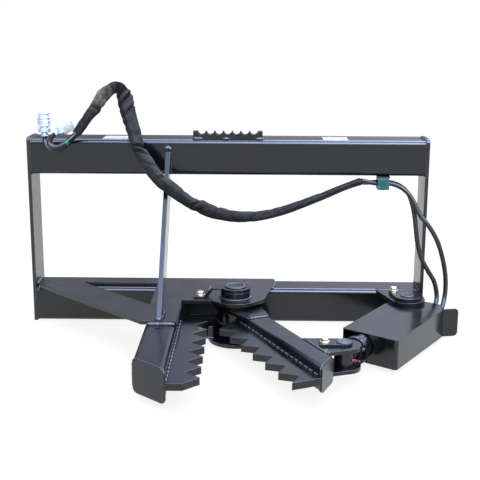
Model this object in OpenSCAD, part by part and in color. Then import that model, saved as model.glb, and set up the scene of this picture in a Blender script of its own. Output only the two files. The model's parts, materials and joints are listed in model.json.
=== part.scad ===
// Tree and post puller: a skid-steer attachment with a fixed toothed jaw and a
// hydraulic swinging jaw on an open carrier frame, stored with its jaws open.
// X runs to the right, the jaws reach towards -Y, and Z = 0 is the ground.

/* [Carrier frame] */
// Overall width of the carrier frame
frame_w = 1156; // [1000:1:1300]
// Height of the top tube's upper face
frame_h = 543; // [460:1:700]
// Side of the square frame tubes
tube = 101.6; // [95:0.1:110]
// Wall of the frame tubes
tube_wall = 6.4; // [4:0.1:10]
// Outer corner radius of the frame tubes
tube_r = 12.7; // [11:0.1:16]
// Thickness of the two side plates
side_t = 10; // [6:0.5:16]
// How far a side plate stands above the top tube
side_rise = 5; // [0.5:0.5:15]
// How far a side plate stands behind the tubes
side_back = 6; // [0.5:0.5:20]
// Corner radius of the side plates
side_r = 12; // [4:0.5:20]

/* [Step grip] */
// Length of the serrated step strip
step_l = 200; // [150:1:300]
// Height of the strip
step_h = 24; // [18:0.5:40]
// Thickness of the strip
step_t = 18; // [8:0.5:30]
// Distance between two notches of the strip
step_pitch = 25; // [23:0.5:40]
// Depth of the round notches
step_notch = 9.5; // [6:0.5:17]
// Radius of the round notches
step_notch_r = 10.8; // [6:0.1:11]
// Distance from the front of the tube to the strip
step_y = 14; // [13:0.5:40]

/* [Skid-steer coupling] */
// Thickness of the upper hook lip
hook_t = 10; // [6:0.5:16]
// Level length of the hook lip, flush with the top of the tube
hook_land = 28; // [10:1:40]
// Reach of the hook lip's sloping part
hook_reach = 40; // [25:1:60]
// Drop of the hook lip
hook_drop = 40; // [25:1:60]
// Thickness of the lower sill plate
sill_t = 12; // [8:0.5:20]
// Height of the sill's underside above the ground
sill_z = 34; // [30:1:60]
// Reach of the level part of the sill behind the tube
sill_reach = 58; // [50:1:80]
// Reach of the sill's bent-down lip
sill_lip = 18; // [8:0.5:24]
// Distance between the two lock pin slots
slot_gap = 876; // [700:1:1000]
// Length of a lock pin slot
slot_l = 66; // [50:1:90]
// Width of a lock pin slot
slot_w = 34; // [25:0.5:42]

/* [Pivot plates] */
// Thickness of the upper and lower pivot plates
plate_t = 10; // [6:0.5:16]
// How far the upper plate lies over the bottom tube
plate_lap = 80; // [60:1:88]
// Width of the slanting arm of the upper plate
arm_w = 109; // [80:1:130]
// Distance from the tube to the upper plate's front edge
plate_reach = 345; // [300:1:400]
// Distance from the tube to the straight edge beside the pivot
inner_reach = 152; // [140:1:170]
// Width of the rib of plate over the fixed jaw
rib_w = 85; // [60:1:110]
// Distance from the tube's front to the window's back edge, behind it
window_back = 27; // [10:1:50]
// Radius of the round lobe round the main pin
lobe_r = 76; // [66:1:90]
// How far the lower plate's nose stands in front of the main pin
nose_reach = 72; // [40:1:90]
// Radius of the lower plate's nose
nose_r = 81; // [78:1:90]

/* [Fixed jaw] */
// Side of the fixed jaw's square tube
jaw_tube = 82; // [78:0.5:82]
// Wall of the fixed jaw's tube
jaw_wall = 6.4; // [4:0.1:10]
// Corner radius of the fixed jaw's tube
jaw_r = 11; // [9:0.5:14]
// Gap between the fixed jaw and the main pin's axis
jaw_side = 150; // [146:1:160]
// Length lost to the slanted end on the outer side
nose_cut = 78; // [20:1:90]
// Thickness of the end caps
cap_t = 6; // [3:0.5:10]

/* [Teeth] */
// Width of the toothed bars from the tube to the tips
tooth_bar = 78; // [70:1:82]
// Height of a tooth
tooth_h = 38; // [25:1:42]
// Distance between two teeth
tooth_pitch = 70; // [60:1:72]
// Number of whole pitches on a bar
teeth = 6; // [4:1:6]
// Thickness of the toothed bars
tooth_t = 18; // [10:0.5:25]

/* [Main pivot] */
// Distance of the main pin's axis from the frame's middle
pivot_x = 26; // [0:1:50]
// Distance of the main pin's axis from the front of the tube
pivot_y = 116; // [110:1:130]
// Diameter of the main pin
pin_d = 50.8; // [44:0.1:60]
// Running clearance of a pin in its bore, on the radius
run_fit = 0.06; // [0.01:0.01:0.1]
// Diameter of the upper boss and the pin's head
boss_d = 85; // [76:0.5:100]
// Height of the upper boss
boss_h = 20; // [12:0.5:30]
// Thickness of the pin's head
head_h = 10; // [6:0.5:16]
// Height of the collar under the lower plate
collar_h = 9.6; // [6:0.1:12]
// Diameter of the collar under the lower plate
collar_d = 100; // [86:1:120]
// Thickness of the thrust washers
washer_t = 6; // [3:0.1:8]

/* [Swinging jaw] */
// Angle between the two jaws as stored
open_angle = 25.2; // [24.5:0.1:28]
// Side of the swinging jaw's square tube
swing_tube = 63.5; // [60:0.5:66]
// Wall of the swinging jaw's tube
swing_wall = 6.4; // [4:0.1:9]
// Corner radius of the swinging jaw's tube
swing_r = 9.5; // [7:0.5:12]
// Length of the swinging jaw on its toothed side, from the main pin
swing_l = 560; // [540:1:620]
// Where the tube starts, from the main pin
swing_start = 155; // [120:1:180]
// Length lost to the slanted end on the outer side
swing_cut = 58; // [10:1:70]
// Outer diameter of the hub
hub_d = 100; // [86:1:108]
// Radius of the round hub plates
hub_plate_r = 60; // [56:0.5:66]
// Thickness of the hub plates and the rod ears
ear_t = 10; // [6:0.5:12]
// Wall of the hub bushings
bush_t = 5; // [3:0.5:8]
// Length of a hub bushing
bush_l = 28; // [15:1:32]

/* [Cylinder] */
// Distance of the rod pin along the swinging jaw, from the main pin
rod_along = 434; // [420:1:445]
// Distance of the rod pin beside the swinging jaw's middle
rod_out = 100.5; // [90:0.5:110]
// Backward distance of the base pin from the main pin
base_dy = 31; // [25:1:40]
// Height of the cylinder's axis
cyl_z = 57.5; // [55:0.1:59]
// Outer diameter of the barrel
barrel_d = 60; // [54:0.5:60]
// Bore of the barrel
bore_d = 50; // [42:0.5:52]
// Diameter of the rod
rod_d = 30; // [20:0.5:30.5]
// Diameter of the gland
gland_d = 74; // [64:0.5:76]
// Length of the gland's flange
gland_l = 14; // [10:1:40]
// Distance from the rod pin to the gland's face
gland_at = 60; // [50:1:62]
// Diameter of the rod pin and the base pin
small_pin = 32; // [24:0.5:36]
// Outer diameter of the rod eye and the base eye
eye_d = 50; // [46:0.5:54]
// Extra radius of the rod eye's bore, left open for the linkage
eye_slack = 2.9; // [2.5:0.1:3.2]
// Radius of the rod ears' round ends
ear_r = 43; // [36:0.5:48]
// Radius of the base ears' round ends
base_ear_r = 50; // [42:0.5:52]

/* [Cylinder guard] */
// Sheet thickness of the guard
guard_t = 3; // [2:0.1:3]
// Width of the guard
guard_w = 161; // [150:1:175]
// Distance from the cylinder's axis to the guard's narrow side
guard_side = 46; // [40:1:52]
// Gap between the guard's front edge and the gland
guard_gap = 34; // [3:0.5:40]
// How far the guard's front edge falls back on the narrow side
guard_slant = 17; // [0:1:30]
// Radius of the bend between the guard's wide side and its front panel
guard_bend = 9; // [5:0.5:14]
// Distance from the cylinder's axis to the front panel's free edge
panel_edge = 30; // [26:1:60]
// Top of the guard above the ground
guard_top = 91; // [90.8:0.1:91.4]
// Bottom of the guard above the ground
guard_bot = 11; // [10.5:0.1:12]
// Length of the flared lip
lip_l = 45; // [24:1:50]
// Slant of the guard to the cylinder
guard_skew = 2.6; // [1:0.1:4]

/* [Brace] */
// Thickness of the flat brace bar
brace_t = 12.5; // [8:0.5:20]
// Width of the brace bar measured level
brace_w = 110; // [70:1:130]
// Distance from the top tube's upper face down to the brace's end
brace_top = 26; // [14:1:50]
// Distance of the brace's foot from the tube
brace_foot = 335; // [280:1:340]
// Distance of the brace from the frame's middle
brace_x = 171; // [150:1:190]

/* [Hoses and couplers] */
// Outer diameter of the hydraulic hoses
hose_d = 13.5; // [10:0.1:14]
// Outer diameter of the braided sleeve round the hoses
sleeve_d = 40; // [34:0.5:44]
// Outer diameter of the couplers
coupler_d = 36; // [30:0.5:40]
// Height of the hose clamp block
clamp_h = 35; // [25:1:45]
// Width of the hose clamp block
clamp_w = 32; // [25:1:45]
// Depth of the hose clamp block
clamp_dp = 48; // [42:1:60]
// Distance between the two hoses in the clamp
clamp_gap = 22; // [18:1:26]

/* [Hidden] */
$fn = 72;
arc_step = 6;
// Overrun of every cut, and how deep a plate starts inside the piece it is coped to
over = 2;

// Carrier frame
inner_w = frame_w/2 - side_t;
beam_z = frame_h - tube;
side_front = 2;
label_w = 72;
label_d = 74;
label_t = 0.5;
label_left = -326;
label_right = 311;
label_y = 51;

// Main pivot and the levels of the stack on it
main_at = [pivot_x, -pivot_y];
pin_r = pin_d/2;
pin_foot = 1;
weld_h = 2;
thrust_gap = 0.3;
low_top = collar_h + plate_t;
high_top = tube + plate_t;
head_z = high_top + boss_h;
hub_bot = low_top + washer_t + thrust_gap;
hub_top = tube - washer_t - thrust_gap;
washer_rim = 2;
washer_r = hub_d/2 - washer_rim;

// Upper and lower pivot plates
jaw_right = pivot_x - jaw_side;
jaw_left = jaw_right - jaw_tube;
corner_land = 6;
corner_r = 12;
corner_out = 104;
plate_corner = [pivot_x + corner_out, plate_lap - corner_r];
shoulder_r = 30;
shoulder_shift = [55, -6];
shoulder_at = main_at + shoulder_shift;
nose_left = -inner_w + plate_reach + corner_land;
rib_left = jaw_right - rib_w;
window_sum = -inner_w + corner_land + arm_w*sqrt(2);
nose_aside = 7;
nose_at = main_at + [nose_aside, -nose_reach];

// Toothed bars, the same piece on both jaws
valley = tooth_bar - tooth_h;
bar_l = teeth*tooth_pitch + tooth_h;
tooth_start = swing_l - (teeth + 0.5)*tooth_pitch;
jaw_l = pivot_y + tooth_start + bar_l;

// Swinging jaw, in its own frame: x along the jaw and y beside it
swing_h = swing_tube/2;
swing_z = hub_top - swing_tube;
tooth_z = swing_z + swing_h - tooth_t/2;
along = [sin(open_angle), -cos(open_angle)];
beside = [cos(open_angle), sin(open_angle)];
rod_pin = [rod_along, rod_out];
ear_back = 80;
ear_front = 37;
ear_a = [rod_along - ear_back, swing_h];
ear_b = [rod_along + ear_front, swing_h];
ear_root = swing_h - swing_r;
web_t = 10;
rod_pin_under = 3;

// Flags that keep the pins from turning
strap_w = 40;
strap_t = 5;
strap_reach = 118;
strap_foot = 37;
strap_rise = 18;
strap_slant_share = 1.2;
flag_t = 8;
flag_r = 38;
flag_tip_r = 14;
base_flag_tip = [-31, 55];
bar_flag_t = 6;
bar_flag_w = 42;
bar_flag_l = 62;
bar_flag_bolt = 48;

// Flag bolts
bolt_r = 6;
bolt_clear = 0.5;
bolt_head_h = 8;
bolt_head_r = 11;
bolt_washer_r = 13;
bolt_washer_t = 2.5;

// Stop block on the lower plate
stop_w = 14;
stop_l = 34;
stop_h = 34;
stop_heel = 9;
stop_shift = [-74, -94];
stop_at = main_at + stop_shift;

// Cylinder, in its own frame: x from the base pin to the rod pin
rod_pin_at = main_at + rod_along*along + rod_out*beside;
base_at = [inner_w - base_ear_r, base_dy - pivot_y];
stretch = rod_pin_at - base_at;
cyl_l = norm(stretch);
cyl_turn = atan2(stretch.y, stretch.x);
small_r = small_pin/2;
eye_r = eye_d/2;
eye_gap = 0.7;
eye_bush_t = 4;
base_eye_bot = 15;
base_eye_top = 87;
barrel_start = 16;
base_wall = 34;
piston_x = 40;
piston_l = 36;
piston_gap = 0.1;
gland_back = cyl_l - gland_at - gland_l;
spigot_l = 26;
gland_nose_wall = 7;
gland_nose_l = 4;
port_r = 12;
port_h = 12;
port_base = 46;
port_before_gland = 76;
port_rod = gland_back - port_before_gland;
elbow_r = 9;
elbow_bend = 16;
crimp_r = 10.5;
crimp_l = 32;
nipple_r = 4;
nipple_h = 10;

// Guard round the cylinder, in its own frame turned by guard_skew
guard_out = guard_w - guard_side;
guard_l = gland_back - guard_gap;
guard_rear = 34;
guard_bevel = [29, 27];
guard_step = 8;
guard_notch = 80;
lip_r = 12;

// Ears of the base pin
base_ear_land = 78;
land = base_at.x - base_ear_land;

// Hose clamp
clamp_x = 448;
clamp_y = 11;
bracket_t = 3;
bracket_w = 37;
clamp_z = beam_z - bracket_t - clamp_h;
clamp_ease = 0.3;
clamp_hole_r = hose_d/2 + clamp_ease;
clamp_bolt_r = 3;
clamp_head_r = 6;
clamp_head_h = 4;

// Couplers, each along its own axis from the end of its hose
ferrule_r = 9.5;
ferrule_l = 10;
coupler_hex_l = 12;
coupler_core_share = 0.7;
collar_play = 5.3;
collar_l = 26;
socket_r = 9;
socket_l = 24;
nose_ring_l = 12;
cap_wall = 2.5;
cap_l = 30;
female_at = [-523, -8, 554];
male_at = [-482.5, -37, 563.4];
male_tilt = 60;

// Routes of the hoses, chosen points on smooth curves
sleeve_route = [
  [-432, -12, 559], [-407, -4, 595], [-378, 2, 632], [-353, 4, 665], [-330, 3, 686],
  [-309, -2, 688], [-293, -14, 665], [-281, -32, 627], [-265, -52, 578], [-242, -72, 517],
  [-213, -90, 473], [-175, -102, 434], [-111, -106, 387], [-33, -92, 350], [62, -71, 334],
  [151, -53, 346.5], [265, -32, 384.5], [330, -18, 410], [381, -6, 427]
];
left_tail = [
  [-523, -8, 554], [-523, -8, 543], [-520, -14, 531], [-512, -23, 520], [-498, -31, 513],
  [-480, -31, 515.5], [-463, -26, 527], [-448, -15, 541], [-433.5, -4.5, 555]
];
right_tail = [
  [-482.5, -37, 563.4], [-492.026, -37, 557.9], [-500.5, -37.5, 546.5], [-504.5, -40, 536.5],
  [-497.5, -43, 528], [-483, -44, 524.6], [-464, -42, 532.5], [-448, -34, 545], [-433.6, -20.6, 558.8]
];
outer_hose = [
  [385, -11.5, 431.4], [406, -5, 425], [430, 0, 421], [466, 0, 421], [496, -5, 412],
  [521, -13, 393], [539, -21, 364], [554, -28, 334], [578, -34, 305], [604, -38, 262],
  [621, -40, 214], [632, -40, 166], [636, -39, 118], [632, -46, 87], [623, -63, 67],
  [614, -77, 60], [609, -86, 60]
];
inner_hose = [
  [383.6, 0.8, 423.8], [404, 13, 421], [430, 22, 421], [466, 22, 421], [496, 17, 413],
  [521, 5, 393], [534, -5, 361], [541, -13, 326], [546, -19, 286], [552, -23, 246],
  [563, -25, 208], [585, -27, 168], [605, -27, 134], [613, -34, 87], [603, -52, 67],
  [595, -66, 60], [590, -75, 60]
];
rod_hose = [
  [-43.5, 80, 2.5], [0, 80, 3], [50, 79, 3], [100, 75, 2], [150, 69, 1], [195, 61, 0],
  [220, 58, 0], [240, 58, 0]
];
base_hose = [[-43.5, 58, 2.5], [-30, 58, 1], [-18, 58, 0], [-2, 58, 0]];
// The clamp's hoses were routed for a base pin at this X, and lean with it between these heights
hose_base_x = 518;
hose_lean_top = 420;
hose_lean = 220;
hose_up = [0.3, 1, 0.2];
sleeve_tip_share = 0.85;

black = [0.09, 0.09, 0.1];
gloss = [0.14, 0.15, 0.17];
zinc = [0.78, 0.74, 0.6];
steel = [0.6, 0.61, 0.63];
bronze = [0.62, 0.48, 0.25];
rubber = [0.06, 0.06, 0.06];
teal = [0.18, 0.5, 0.52];
blue = [0.25, 0.4, 0.6];
red = [0.75, 0.1, 0.1];
blank = [0.85, 0.85, 0.84];

// Places

// The ground point under the middle of the whole machine
lip_tip = base_at + turned([
  guard_step + (guard_t - lip_l)*cos(45), guard_out - guard_t + (guard_t + lip_l)*sin(45)
]);
mid_x = (lip_tip.x - frame_w/2)/2;
mid_y = (tube + sill_reach + sill_lip - jaw_l)/2;
function turned(p) = let (a = cyl_turn - guard_skew) [p.x*cos(a) - p.y*sin(a), p.x*sin(a) + p.y*cos(a)];

module placed() translate([-mid_x, -mid_y, 0]) children();
module on_swing() placed() translate(main_at) rotate(open_angle - 90) children();
module on_cylinder() placed() translate([base_at.x, base_at.y, cyl_z]) rotate(cyl_turn) children();
module on_guard() placed() translate(base_at) rotate(cyl_turn - guard_skew) children();
module at_female() placed() translate(female_at) children();
module at_male() placed() translate(male_at) rotate([0, male_tilt, 0]) children();

// Shapes

// Points of an arc of radius r round c between two bearings
function arc(c, r, from, to) = let (n = ceil(abs(to - from)/arc_step))
  [for (i = [0 : n]) let (a = from + (to - from)*i/n) c + r*[cos(a), sin(a)]];

// Bearing at which a line from p touches the circle round c, turned to the left (1) or right (-1)
function touch(p, c, r, side) = let (v = p - c) atan2(v.y, v.x) + side*acos(r/norm(v));

// Bearing of the outer tangent on the left of the way from one circle to the next
function tangent(c1, r1, c2, r2) = let (v = c2 - c1) atan2(v.y, v.x) + acos((r1 - r2)/norm(v));

// Belt round two circles
module belt(c1, r1, c2, r2) {
  v = c2 - c1;
  left = tangent(c1, r1, c2, r2);
  right = 2*atan2(v.y, v.x) - left;
  polygon(concat(arc(c1, r1, left, right + 360), arc(c2, r2, right, left)));
}

module soft_square(side, r) {
  square([side, side - 2*r], center = true);
  square([side - 2*r, side], center = true);
  for (x = [-1, 1], y = [-1, 1])
    translate([x*(side/2 - r), y*(side/2 - r)]) circle(r);
}

// Square tube along +X, its middle at the origin's height
module bar_x(side, r, l) rotate([90, 0, 90]) linear_extrude(l) soft_square(side, r);
module tube_x(side, wall, r, l) difference() {
  bar_x(side, r, l);
  translate([-over, 0, 0]) bar_x(side - 2*wall, max(r - wall, wall/4), l + 2*over);
}

module ring(outer, inner, z, h) translate([0, 0, z]) difference() {
  cylinder(r = outer, h = h);
  translate([0, 0, -over]) cylinder(r = inner, h = h + 2*over);
}

module hole(at, r, z, h) translate([at.x, at.y, z - over]) cylinder(r = r, h = h + 2*over);

// Length of a cap measured along a tube whose end slants by cut over its side
function cap_run(cut, side) = cap_t*sqrt(1 + pow(cut/side, 2));

function heading(p, i) = let (v = p[min(i + 1, len(p) - 1)] - p[max(i - 1, 0)]) v/norm(v);
function loop_at(p, i, r, n, up) =
  let (t = heading(p, i), s0 = cross(t, up), s = s0/norm(s0), u = cross(s, t))
  [for (k = [0 : n - 1]) p[i] + r*(cos(360*k/n)*s + sin(360*k/n)*u)];

// Hose of radius r along a route, drawn in to radius tip at its last point
module hose(p, r, tip, n, up) {
  m = len(p);
  points = [for (i = [0 : m - 1]) each loop_at(p, i, i == m - 1 ? tip : r, n, up)];
  sides = [
    for (i = [0 : m - 2], k = [0 : n - 1], half = [0, 1])
      let (a = i*n + k, b = i*n + (k + 1)%n)
        half == 0 ? [a, b, b + n] : [a, b + n, a + n]
  ];
  ends = [[for (k = [n - 1 : -1 : 0]) k], [for (k = [0 : n - 1]) (m - 1)*n + k]];
  polyhedron(points, concat(ends, sides), convexity = 6);
}

// Hexagonal bolt with its washer, its seat at z = 0 and its shank downwards
module flag_bolt(shank) {
  translate([0, 0, -shank]) cylinder(r = bolt_r, h = shank);
  cylinder(r = bolt_washer_r, h = bolt_washer_t);
  translate([0, 0, bolt_washer_t]) cylinder(r = bolt_head_r, h = bolt_head_h, $fn = 6);
}

// Carrier frame

module beam(z) placed() translate([-inner_w, tube/2, z + tube/2])
  tube_x(tube, tube_wall, tube_r, 2*inner_w);
module beam_body(z) translate([-inner_w, tube/2, z + tube/2]) bar_x(tube, tube_r, 2*inner_w);
module top_beam() color(gloss) beam(beam_z);
module bottom_beam() color(gloss) beam(0);

module side_plate(x) {
  w = side_front + tube + side_back;
  h = frame_h + side_rise;
  color(black) placed() translate([x, -side_front, 0]) rotate([90, 0, 90]) linear_extrude(side_t) {
    square([w, h - side_r]);
    translate([side_r, 0]) square([w - 2*side_r, h]);
    for (y = [side_r, w - side_r])
      translate([y, h - side_r]) circle(side_r);
  }
}
module left_side_plate() side_plate(-frame_w/2);
module right_side_plate() side_plate(inner_w);

module step_grip() {
  notches = floor(step_l/step_pitch) - 1;
  color(black) placed() translate([-step_l/2, step_y + step_t, frame_h])
    rotate([90, 0, 0]) linear_extrude(step_t) difference() {
      square([step_l, step_h]);
      for (i = [0 : notches - 1])
        translate([step_l/2 + (i - (notches - 1)/2)*step_pitch, step_h - step_notch + step_notch_r]) {
          circle(step_notch_r);
          translate([-step_notch_r, 0]) square([2*step_notch_r, step_h]);
        }
    }
}

module coupler_hook() {
  run = [hook_reach, -hook_drop];
  down = hook_t*[run.y, -run.x]/norm(run);
  root = [tube - tube_r + over, frame_h];
  bend = root + [hook_land, 0];
  under = [-hook_t*tan(atan(hook_drop/hook_reach)/2), -hook_t];
  color(black) placed() difference() {
    translate([-inner_w, 0, 0]) rotate([90, 0, 90]) linear_extrude(2*inner_w)
      polygon([root, bend, bend + run, bend + run + down, bend + under, root - [0, hook_t]]);
    beam_body(beam_z);
  }
}

module lock_slot(x) translate([x, tube + sill_reach/2]) {
  square([slot_l - slot_w, slot_w], center = true);
  for (s = [-1, 1])
    translate([s*(slot_l - slot_w)/2, 0]) circle(slot_w/2);
}
module coupler_sill() color(black) placed() {
  translate([0, 0, sill_z]) linear_extrude(sill_t) difference() {
    translate([-inner_w, tube]) square([2*inner_w, sill_reach]);
    for (x = [-slot_gap/2, slot_gap/2]) lock_slot(x);
  }
  translate([-inner_w, tube + sill_reach, sill_z]) rotate([90, 0, 90]) linear_extrude(2*inner_w)
    polygon([[0, 0], [0, sill_t], [sill_lip, sill_t - sill_lip], [sill_lip, -sill_lip]]);
}

module blank_labels() color(blank) placed() for (x = [label_left, label_right])
  translate([x - label_w/2, label_y - label_d/2, frame_h]) cube([label_w, label_d, label_t]);

// Pivot plates

module window() polygon([
  [window_sum - window_back, window_back], [rib_left, window_back], [rib_left, window_sum - rib_left]
]);
module upper_outline() {
  edge = tangent(plate_corner, corner_r, shoulder_at, shoulder_r);
  bend = tangent(shoulder_at, shoulder_r, main_at, lobe_r) - 360;
  polygon(concat(
    [[-inner_w, plate_lap]],
    arc(plate_corner, corner_r, 90, edge),
    arc(shoulder_at, shoulder_r, edge, bend),
    arc(main_at, lobe_r, bend, asin((inner_reach - pivot_y)/lobe_r) - 180),
    [[jaw_right, -inner_reach], [jaw_right, -plate_reach], [nose_left, -plate_reach],
     [-inner_w, corner_land]]
  ));
}
module upper_pivot_plate() color(black) placed() difference() {
  translate([0, 0, tube]) linear_extrude(plate_t) difference() {
    upper_outline();
    window();
  }
  hole(main_at, pin_r + run_fit, tube, plate_t);
  hole(strap_bolt_at(), bolt_r + run_fit, tube, plate_t);
}

module lower_pivot_plate() {
  heel = [plate_corner.x, 0];
  color(black) placed() difference() {
    translate([0, 0, collar_h]) linear_extrude(plate_t) polygon(concat(
      [[jaw_left, over], [heel.x, over], heel],
      arc(nose_at, nose_r, touch(heel, nose_at, nose_r, -1), -180),
      [[jaw_right, -inner_reach], [jaw_left, -inner_reach]]
    ));
    beam_body(0);
    hole(main_at, pin_r + run_fit, collar_h, plate_t);
  }
}

// Fixed jaw

module jaw_section() translate([jaw_right - jaw_tube/2, over, low_top + jaw_tube/2]) rotate(-90) children();
module fixed_jaw_tube() {
  run = cap_run(nose_cut, jaw_tube);
  color(gloss) placed() intersection() {
    difference() {
      jaw_section() tube_x(jaw_tube, jaw_wall, jaw_r, jaw_l);
      beam_body(0);
    }
    linear_extrude(tube) polygon([
      [jaw_left, over], [jaw_right, over], [jaw_right, run - jaw_l], [jaw_left, run + nose_cut - jaw_l]
    ]);
  }
}
module fixed_jaw_cap() {
  run = cap_run(nose_cut, jaw_tube);
  color(black) placed() intersection() {
    jaw_section() bar_x(jaw_tube, jaw_r, jaw_l + 2*over);
    linear_extrude(tube) polygon([
      [jaw_left, run + nose_cut - jaw_l], [jaw_right, run - jaw_l], [jaw_right, -jaw_l],
      [jaw_left, nose_cut - jaw_l]
    ]);
  }
}

// Toothed bar with its square end at x = 0 and its tips towards +y
module tooth_bar_outline() polygon(concat(
  [[0, 0]],
  [for (i = [0 : 2*teeth]) [i*tooth_pitch/2, i%2 == 0 ? tooth_bar : valley]],
  [[bar_l, valley], [bar_l, 0]]
));
module fixed_jaw_teeth() color(black) placed() translate([jaw_right, tooth_start_y(), tooth_z])
  rotate(-90) linear_extrude(tooth_t) tooth_bar_outline();
function tooth_start_y() = -pivot_y - tooth_start;

// Brace

module brace_bar() {
  slope = (frame_h - brace_top - high_top)/brace_foot;
  color(gloss) placed() translate([-brace_x - brace_t/2, 0, 0]) rotate([90, 0, 90])
    linear_extrude(brace_t) polygon([
      [0, frame_h - brace_top], [-brace_foot, high_top], [brace_w - brace_foot, high_top],
      [0, high_top + (brace_foot - brace_w)*slope]
    ]);
}

// Main pivot

module on_main() placed() translate(main_at) children();
module pivot_boss() color(black) on_main() ring(boss_d/2, pin_r + run_fit, high_top, boss_h);
module foot_collar() color(black) on_main() ring(collar_d/2, pin_r + run_fit, 0, collar_h);
module main_pin() color(steel) on_main() translate([0, 0, pin_foot])
  cylinder(r = pin_r, h = head_z + head_h + weld_h - pin_foot);
function strap_bolt_at() = main_at + [strap_foot/2 - strap_reach, 0];
module main_pin_flag() {
  riser = strap_slant_share*strap_t;
  foot = strap_foot - strap_reach;
  top = head_z + head_h;
  color(black) {
    on_main() ring(boss_d/2, pin_r, head_z, head_h);
    placed() difference() {
      translate([main_at.x, main_at.y + strap_w/2, 0]) rotate([90, 0, 0]) linear_extrude(strap_w)
        polygon([
          [-strap_reach, high_top], [-strap_reach, high_top + strap_t], [foot - riser, high_top + strap_t],
          [foot + strap_rise - riser, top], [0, top], [0, top - strap_t],
          [foot + strap_rise, top - strap_t], [foot, high_top]
        ]);
      hole(main_at, boss_d/2, head_z, head_h);
      hole(strap_bolt_at(), bolt_r + bolt_clear, high_top, strap_t);
    }
  }
}
module thrust_washers() color(bronze) on_main() for (z = [low_top, hub_top + thrust_gap])
  ring(washer_r, pin_r + run_fit, z, washer_t);
module jaw_stop() color(black) placed() translate([stop_at.x, stop_at.y, low_top]) {
  cube([stop_w, stop_l, stop_h]);
  linear_extrude(stop_heel) polygon([[stop_w, 0], [stop_w, stop_l], [2*stop_w + stop_w/2, stop_l]]);
}

function base_bolt_at() = base_at + base_flag_tip;
module flag_bolts() color(zinc) placed() {
  translate(concat(strap_bolt_at(), high_top + strap_t)) flag_bolt(strap_t + plate_t);
  translate(concat(base_bolt_at(), tube + flag_t)) flag_bolt(flag_t + plate_t);
}

// Ears of the base pin

module base_ear(z) color(black) placed() difference() {
  translate([0, 0, z]) linear_extrude(plate_t) polygon(concat(
    [[land, tube_r], [land, 0]],
    arc(base_at, base_ear_r, touch([land, 0], base_at, base_ear_r, 1), 360),
    [[base_at.x + base_ear_r, tube_r]]
  ));
  beam_body(0);
  hole(base_at, small_r + run_fit, z, plate_t);
  if (z > 0) hole(base_bolt_at(), bolt_r + run_fit, z, plate_t);
}
module base_ear_upper() base_ear(tube - plate_t);
module base_ear_lower() base_ear(0);
module base_pin() color(steel) placed() translate([base_at.x, base_at.y, pin_foot])
  cylinder(r = small_r, h = tube + flag_t + weld_h - pin_foot);
module base_pin_flag() color(black) placed() difference() {
  translate([0, 0, tube]) linear_extrude(flag_t) belt(base_at, flag_r, base_bolt_at(), flag_tip_r);
  hole(base_at, small_r, tube, flag_t);
  hole(base_bolt_at(), bolt_r + bolt_clear, tube, flag_t);
}

// Hose clamp

module clamp_bracket() color(black) placed()
  translate([clamp_x - bracket_w/2, clamp_y - clamp_dp/2, beam_z - bracket_t]) difference() {
    cube([bracket_w, clamp_dp, bracket_t]);
    translate([bracket_w/2, clamp_dp/2, -over]) cylinder(r = clamp_bolt_r, h = bracket_t + 2*over);
  }
module hose_clamp() color(teal) placed() translate([clamp_x, clamp_y, clamp_z]) difference() {
  translate([-clamp_w/2, -clamp_dp/2, 0]) cube([clamp_w, clamp_dp, clamp_h]);
  for (y = [-clamp_gap/2, clamp_gap/2])
    translate([-clamp_w/2 - over, y, clamp_h/2]) rotate([0, 90, 0])
      cylinder(r = clamp_hole_r, h = clamp_w + 2*over);
  translate([0, 0, -over]) cylinder(r = clamp_bolt_r, h = clamp_h + 2*over);
}
module clamp_bolt() color(zinc) placed() translate([clamp_x, clamp_y, clamp_z]) {
  cylinder(r = clamp_bolt_r, h = clamp_h + bracket_t);
  translate([0, 0, -clamp_head_h]) cylinder(r = clamp_head_r, h = clamp_head_h, $fn = 6);
}

// Hoses

// A route that leans with the base pin
function leaned(p) = [
  for (q = p) [q.x + (base_at.x - hose_base_x)*max(0, min(1, (hose_lean_top - q.z)/hose_lean)), q.y, q.z]
];
module hose_sleeve() color(rubber) placed()
  hose(sleeve_route, sleeve_d/2, sleeve_tip_share*sleeve_d/2, 12, [0, 1, 0]);
module coupler_hoses() color(rubber) placed() for (p = [left_tail, right_tail])
  hose(p, hose_d/2, hose_d/2, 8, hose_up);
module clamp_hoses() color(rubber) placed() for (p = [outer_hose, inner_hose])
  hose(leaned(p), hose_d/2, hose_d/2, 8, hose_up);
module cylinder_hoses() color(rubber) on_cylinder() for (p = [rod_hose, base_hose])
  hose(p, hose_d/2, hose_d/2, 8, [0, 0, 1]);

// Couplers

coupler_r = coupler_d/2;
core_r = coupler_core_share*coupler_r;
hex_end = ferrule_l + coupler_hex_l;
collar_z = hex_end + collar_play;
nose_z = collar_z + collar_l;
module coupler_hex() translate([0, 0, ferrule_l]) cylinder(r = coupler_r, h = coupler_hex_l, $fn = 6);
module hose_ferrules() color(zinc) {
  at_female() cylinder(r = ferrule_r, h = ferrule_l);
  at_male() cylinder(r = ferrule_r, h = ferrule_l);
}
module female_coupler() color(steel) at_female() difference() {
  union() {
    coupler_hex();
    translate([0, 0, hex_end]) cylinder(r = core_r, h = nose_z - hex_end);
    translate([0, 0, nose_z]) cylinder(r = core_r + cap_wall, h = nose_ring_l);
  }
  translate([0, 0, nose_z + nose_ring_l - socket_l]) cylinder(r = socket_r, h = socket_l + over);
}
module coupler_collar() color(zinc) at_female()
  ring(coupler_r, core_r + run_fit, collar_z, collar_l - thrust_gap);
module male_coupler() color(steel) at_male() {
  coupler_hex();
  translate([0, 0, hex_end]) cylinder(r = core_r, h = cap_l/2);
  translate([0, 0, hex_end + cap_l/2]) cylinder(r = socket_r, h = cap_l/4);
}
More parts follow.
